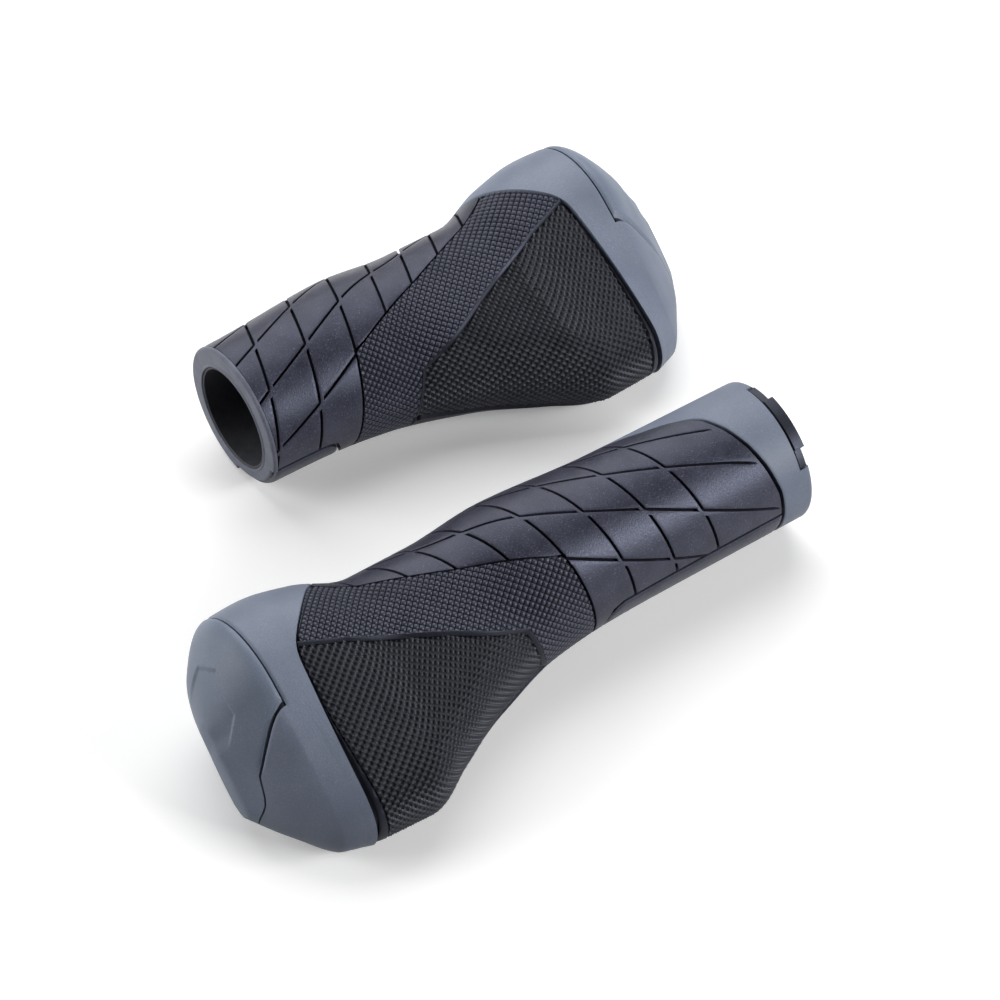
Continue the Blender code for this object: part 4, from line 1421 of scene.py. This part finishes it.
# %% Rim of the open end
RIM_ROUND = 0.6
NOTCH = 1.1
LIP_PROFILE = ((1.25, 0.0), (1.05, 0.2), (0.8, 0.24), (0.6, 0.12), (0.55, -0.1), (0.55, -RIM))
rim_deg = round_bar(240)
notch = NOTCH * np.interp(rim_deg - STRIP_TOP["right"], [0.0, 1.0], [1.0, 0.0])
rings = [section(LENGTH["right"] - RIM, rim_deg, notch)]
for part in range(0, 100, 15):
    bend = math.radians(part)
    at = LENGTH["right"] - RIM_ROUND * (1 - math.sin(bend))
    rings.append(section(at, rim_deg, notch + RIM_ROUND * (1 - math.cos(bend))))
rings += list(turned([(BORE_RADIUS + wall, LENGTH["right"] + at) for wall, at in LIP_PROFILE], rim_deg))
open_rim = add_wall(np.array(rings))
# The rim's pale colour is a painted reflection.
settle(open_rim, "right", "open_rim", rim_painted_reflection_rubber, slot="black_rubber")

# %% [markdown]
# ## Gel pad
# Under the palm lies a pad of soft gel, out of sight. It is a crowned cushion: a subdivided cube is bent
# into the hollow, its edges sink and its sides pull in between the corners, as a moulded gel pad's do.

# %% Gel pads
# Cast polyurethane: clear, slightly clouded, with a wet gloss.
gel, tree, shader = start_material("polyurethane_gel")
haze = noise(tree, 5.0, 2.0)
gloss = add_node(tree, "MapRange", {"Value": haze, "To Min": 0.18, "To Max": 0.32})
plug(tree, shader, {"Base Color": mix(tree, haze, linear("#828990"), linear("#9aa1a8")), "Roughness": gloss})

PULL = 0.05                 # how far the sides pull in between the corners, as a share
RIM_SHARE, CROWN_SHARE = 0.55, 0.40     # thickness at the rim, and what the middle adds to it
for side in SIGN:
    pad = add_cube(20)
    s, t, h = read(pad).T
    s = s * (1 - PULL * np.cos(t * math.pi))
    t = t * (1 - PULL * np.cos(s * math.pi))
    rim = 1 - np.clip(2 * np.maximum(np.abs(s), np.abs(t)), 0, 1) ** 6
    u = GEL_SPAN[0] + (s + 0.5) * (GEL_SPAN[1] - GEL_SPAN[0])
    deg = GEL_LOW + (t + 0.5) * (crease(u) - GEL_INSET - GEL_LOW)
    middle = -(SLEEVE_WALL + CORE_GAP + GEL_DEPTH / 2)
    write(pad, on_form(u, deg, middle + h * GEL_DEPTH * (RIM_SHARE + CROWN_SHARE * rim)))
    settle(pad, side, "gel_cushion", gel, node="gel_pad", slot="gel")

# %% [markdown]
# ## Clamp
# A split ring of aluminium closes on the bar when its bolt is turned. Only the bolt's head can be seen,
# up the well in the shoulder's underside. The ring is a cylinder with ears, bored, slit and drilled; the
# bolt is a cylinder whose top is inset and extruded to the shank.

# %% Metals
def metal(name, tone, rough, streak, along):
    """A machined metal; streaks of one width in millimetres run the way the tool went."""
    material, tree, shader = start_material(name)
    where = add_node(tree, "TexCoord", {}, "Object")
    lines = noise(tree, streak, 3.0, add_node(tree, "Mapping", {"Vector": where, "Scale": along}))
    wear = add_node(tree, "MapRange", {"Value": lines, "To Min": rough[0], "To Max": rough[1]})
    colour = mix(tree, lines, linear(tone[0]), linear(tone[1]))
    plug(tree, shader, {"Base Color": colour, "Roughness": wear, "Metallic": 1.0})
    return material


# Turned aluminium: pale, with fine rings that stretch its highlight.
aluminium = metal("turned_aluminium", ("#c4c6ca", "#d8dade"), (0.28, 0.42), 0.2, (1.0, 0.1, 0.1))
# Black oxide on steel: nearly black, a little oily.
black_steel = metal("black_oxide_steel", ("#2a2a2c", "#3a3a3d"), (0.30, 0.45), 0.3, (1.0, 1.0, 1.0))

# %% Ring, bolt and washer
WASHER_RADIUS = 4.0
WASHER_SPAN = (EAR_BOTTOM - 1.1, EAR_BOTTOM - 0.3)
HEAD_TOP = EAR_BOTTOM - 1.4
HEAD_LOW = HEAD_TOP - 3.5
HEAD_RADIUS = 3.5
SHANK_TOP = EAR_TOP - 0.3
BOLT_RADIUS = 2.0
HOLE_RADIUS = BOLT_RADIUS + 0.3
SOCKET_RADIUS = 1.5 / math.cos(math.radians(30))
SOCKET_DEPTH = 2.0
SLIT = (-3.5, -2.0)
METAL_SMOOTH = 30.0


def edit_faces(obj, test):
    """Enter edit mode with only those faces selected whose normal passes a test."""
    edit(obj, everything=False)
    leave_edit()
    for face in obj.data.polygons:
        face.select = bool(test(face.normal))
    bpy.ops.object.mode_set(mode="EDIT")


ring = add_along(CLAMP_RADIUS, CLAMP_START, CLAMP_END)
cut(ring, add_slab((0.0, EAR_BOTTOM), (EAR_REACH, EAR_TOP), CLAMP_START + 0.2, CLAMP_END - 0.2), "UNION")
cut(ring, add_along(BORE_RADIUS, -FAR, FAR))
cut(ring, add_slab((0.0, SLIT[0]), (FAR, SLIT[1]), -FAR, FAR))
cut(ring, add_upright(HOLE_RADIUS, -FAR, FAR))

bolt = add_upright(HEAD_RADIUS, HEAD_LOW, HEAD_TOP)
edit_faces(bolt, lambda normal: normal.z > 0.9)
bpy.ops.mesh.inset(thickness=HEAD_RADIUS - BOLT_RADIUS)
bpy.ops.mesh.extrude_region_move(TRANSFORM_OT_translate={"value": (0.0, 0.0, SHANK_TOP - HEAD_TOP)})
leave_edit()
ease(bolt, 0.3)
cut(bolt, add_upright(SOCKET_RADIUS, HEAD_LOW - SOCKET_DEPTH, HEAD_LOW + SOCKET_DEPTH, 6))

washer = add_upright(WASHER_RADIUS, *WASHER_SPAN)
cut(washer, add_upright(HOLE_RADIUS, -FAR, FAR))
ease(washer, 0.12)

settle_pair(ring, "split_ring", aluminium, METAL_SMOOTH, node="clamp_ring", slot="aluminium")
settle_pair(washer, "flat_washer", black_steel, METAL_SMOOTH, node="clamp_washer", slot="black_steel")
steel = {"body": "bolt", "node": "clamp_bolt", "slot": "black_steel"}
settle_pair(bolt, "socket_bolt", black_steel, METAL_SMOOTH, **steel)

# %% [markdown]
# ## Studio
# A pale floor, one broad light overhead, behind and to the right, a low softbox at the front, right of
# the camera, which draws the soft highlights on the diamonds and on the fine mesh, and one on the left
# for the caps. The level is such that colours render as written. The floor is white to the camera and in
# reflections, and darker to the light that it throws back, because the pair was photographed well clear
# of its background.

# %% Floor and light
FLOOR_WHITE = "#fafafa"
FLOOR_BOUNCE = "#606060"
FLOOR_GLOW = 0.22
FLOOR_SIZE = 4.0
FLOOR_DOWN = 0.0004         # so that the floor doesn't share a plane with the undersides


def seen_directly(tree):
    """1 for rays from the camera and for reflections of what it sees, otherwise 0."""
    seen = add_node(tree, "LightPath", {}, "Is Camera Ray")
    for ray in ("Is Glossy Ray", "Is Transmission Ray"):
        path = add_node(tree, "LightPath", {}, ray)
        seen = add_node(tree, "Math", {0: seen, 1: path}, operation="MAXIMUM")
    return seen


floor = add(bpy.ops.mesh.primitive_plane_add, size=FLOOR_SIZE, location=(0.0, 0.0, -FLOOR_DOWN))
floor.name = "studio_floor"
# Matt white paper, without any gloss.
paper, tree, shader = start_material("white_paper")
seen = seen_directly(tree)
inputs = {
    "Base Color": mix(tree, seen, linear(FLOOR_BOUNCE), linear(FLOOR_WHITE)),
    "Roughness": 0.9,
    "Specular IOR Level": 0.0,
    "Emission Color": linear("#ffffff"),
    "Emission Strength": add_node(tree, "Math", {0: seen, 1: FLOOR_GLOW}, operation="MULTIPLY"),
}
plug(tree, shader, inputs)
floor.data.materials.append(paper)
floor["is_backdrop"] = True


def add_softbox(name, direction, distance, size, power):
    """An area light that looks at the pair from a direction."""
    lamp = add(bpy.ops.object.light_add, type="AREA")
    lamp.name = name
    toward = Vector(direction).normalized()
    lamp.location = toward * distance
    lamp.rotation_mode = "QUATERNION"
    lamp.rotation_quaternion = toward.to_track_quat("Z", "Y")
    lamp.data.shape = "RECTANGLE"
    lamp.data.size, lamp.data.size_y = size
    lamp.data.energy = power


add_softbox("overhead_softbox", (0.30, 0.57, 0.77), 0.5, (0.6, 0.6), 2.8)
add_softbox("front_softbox", (0.52, -0.74, 0.42), 1.0, (0.55, 0.30), 8.2)
add_softbox("left_softbox", (-0.80, 0.45, 0.40), 0.8, (0.5, 0.5), 3.7)
world = bpy.data.worlds.new("studio_air")
world.use_nodes = True
air = {"Color": linear("#ffffff"), "Strength": 0.03}
plug(world.node_tree, world.node_tree.nodes["Background"], air)
bpy.context.scene.world = world
bpy.context.scene.view_settings.view_transform = "Standard"

# %% Size and finish
low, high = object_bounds()
print("visual box, mm:", [round(c / MM, 1) for c in high - low])
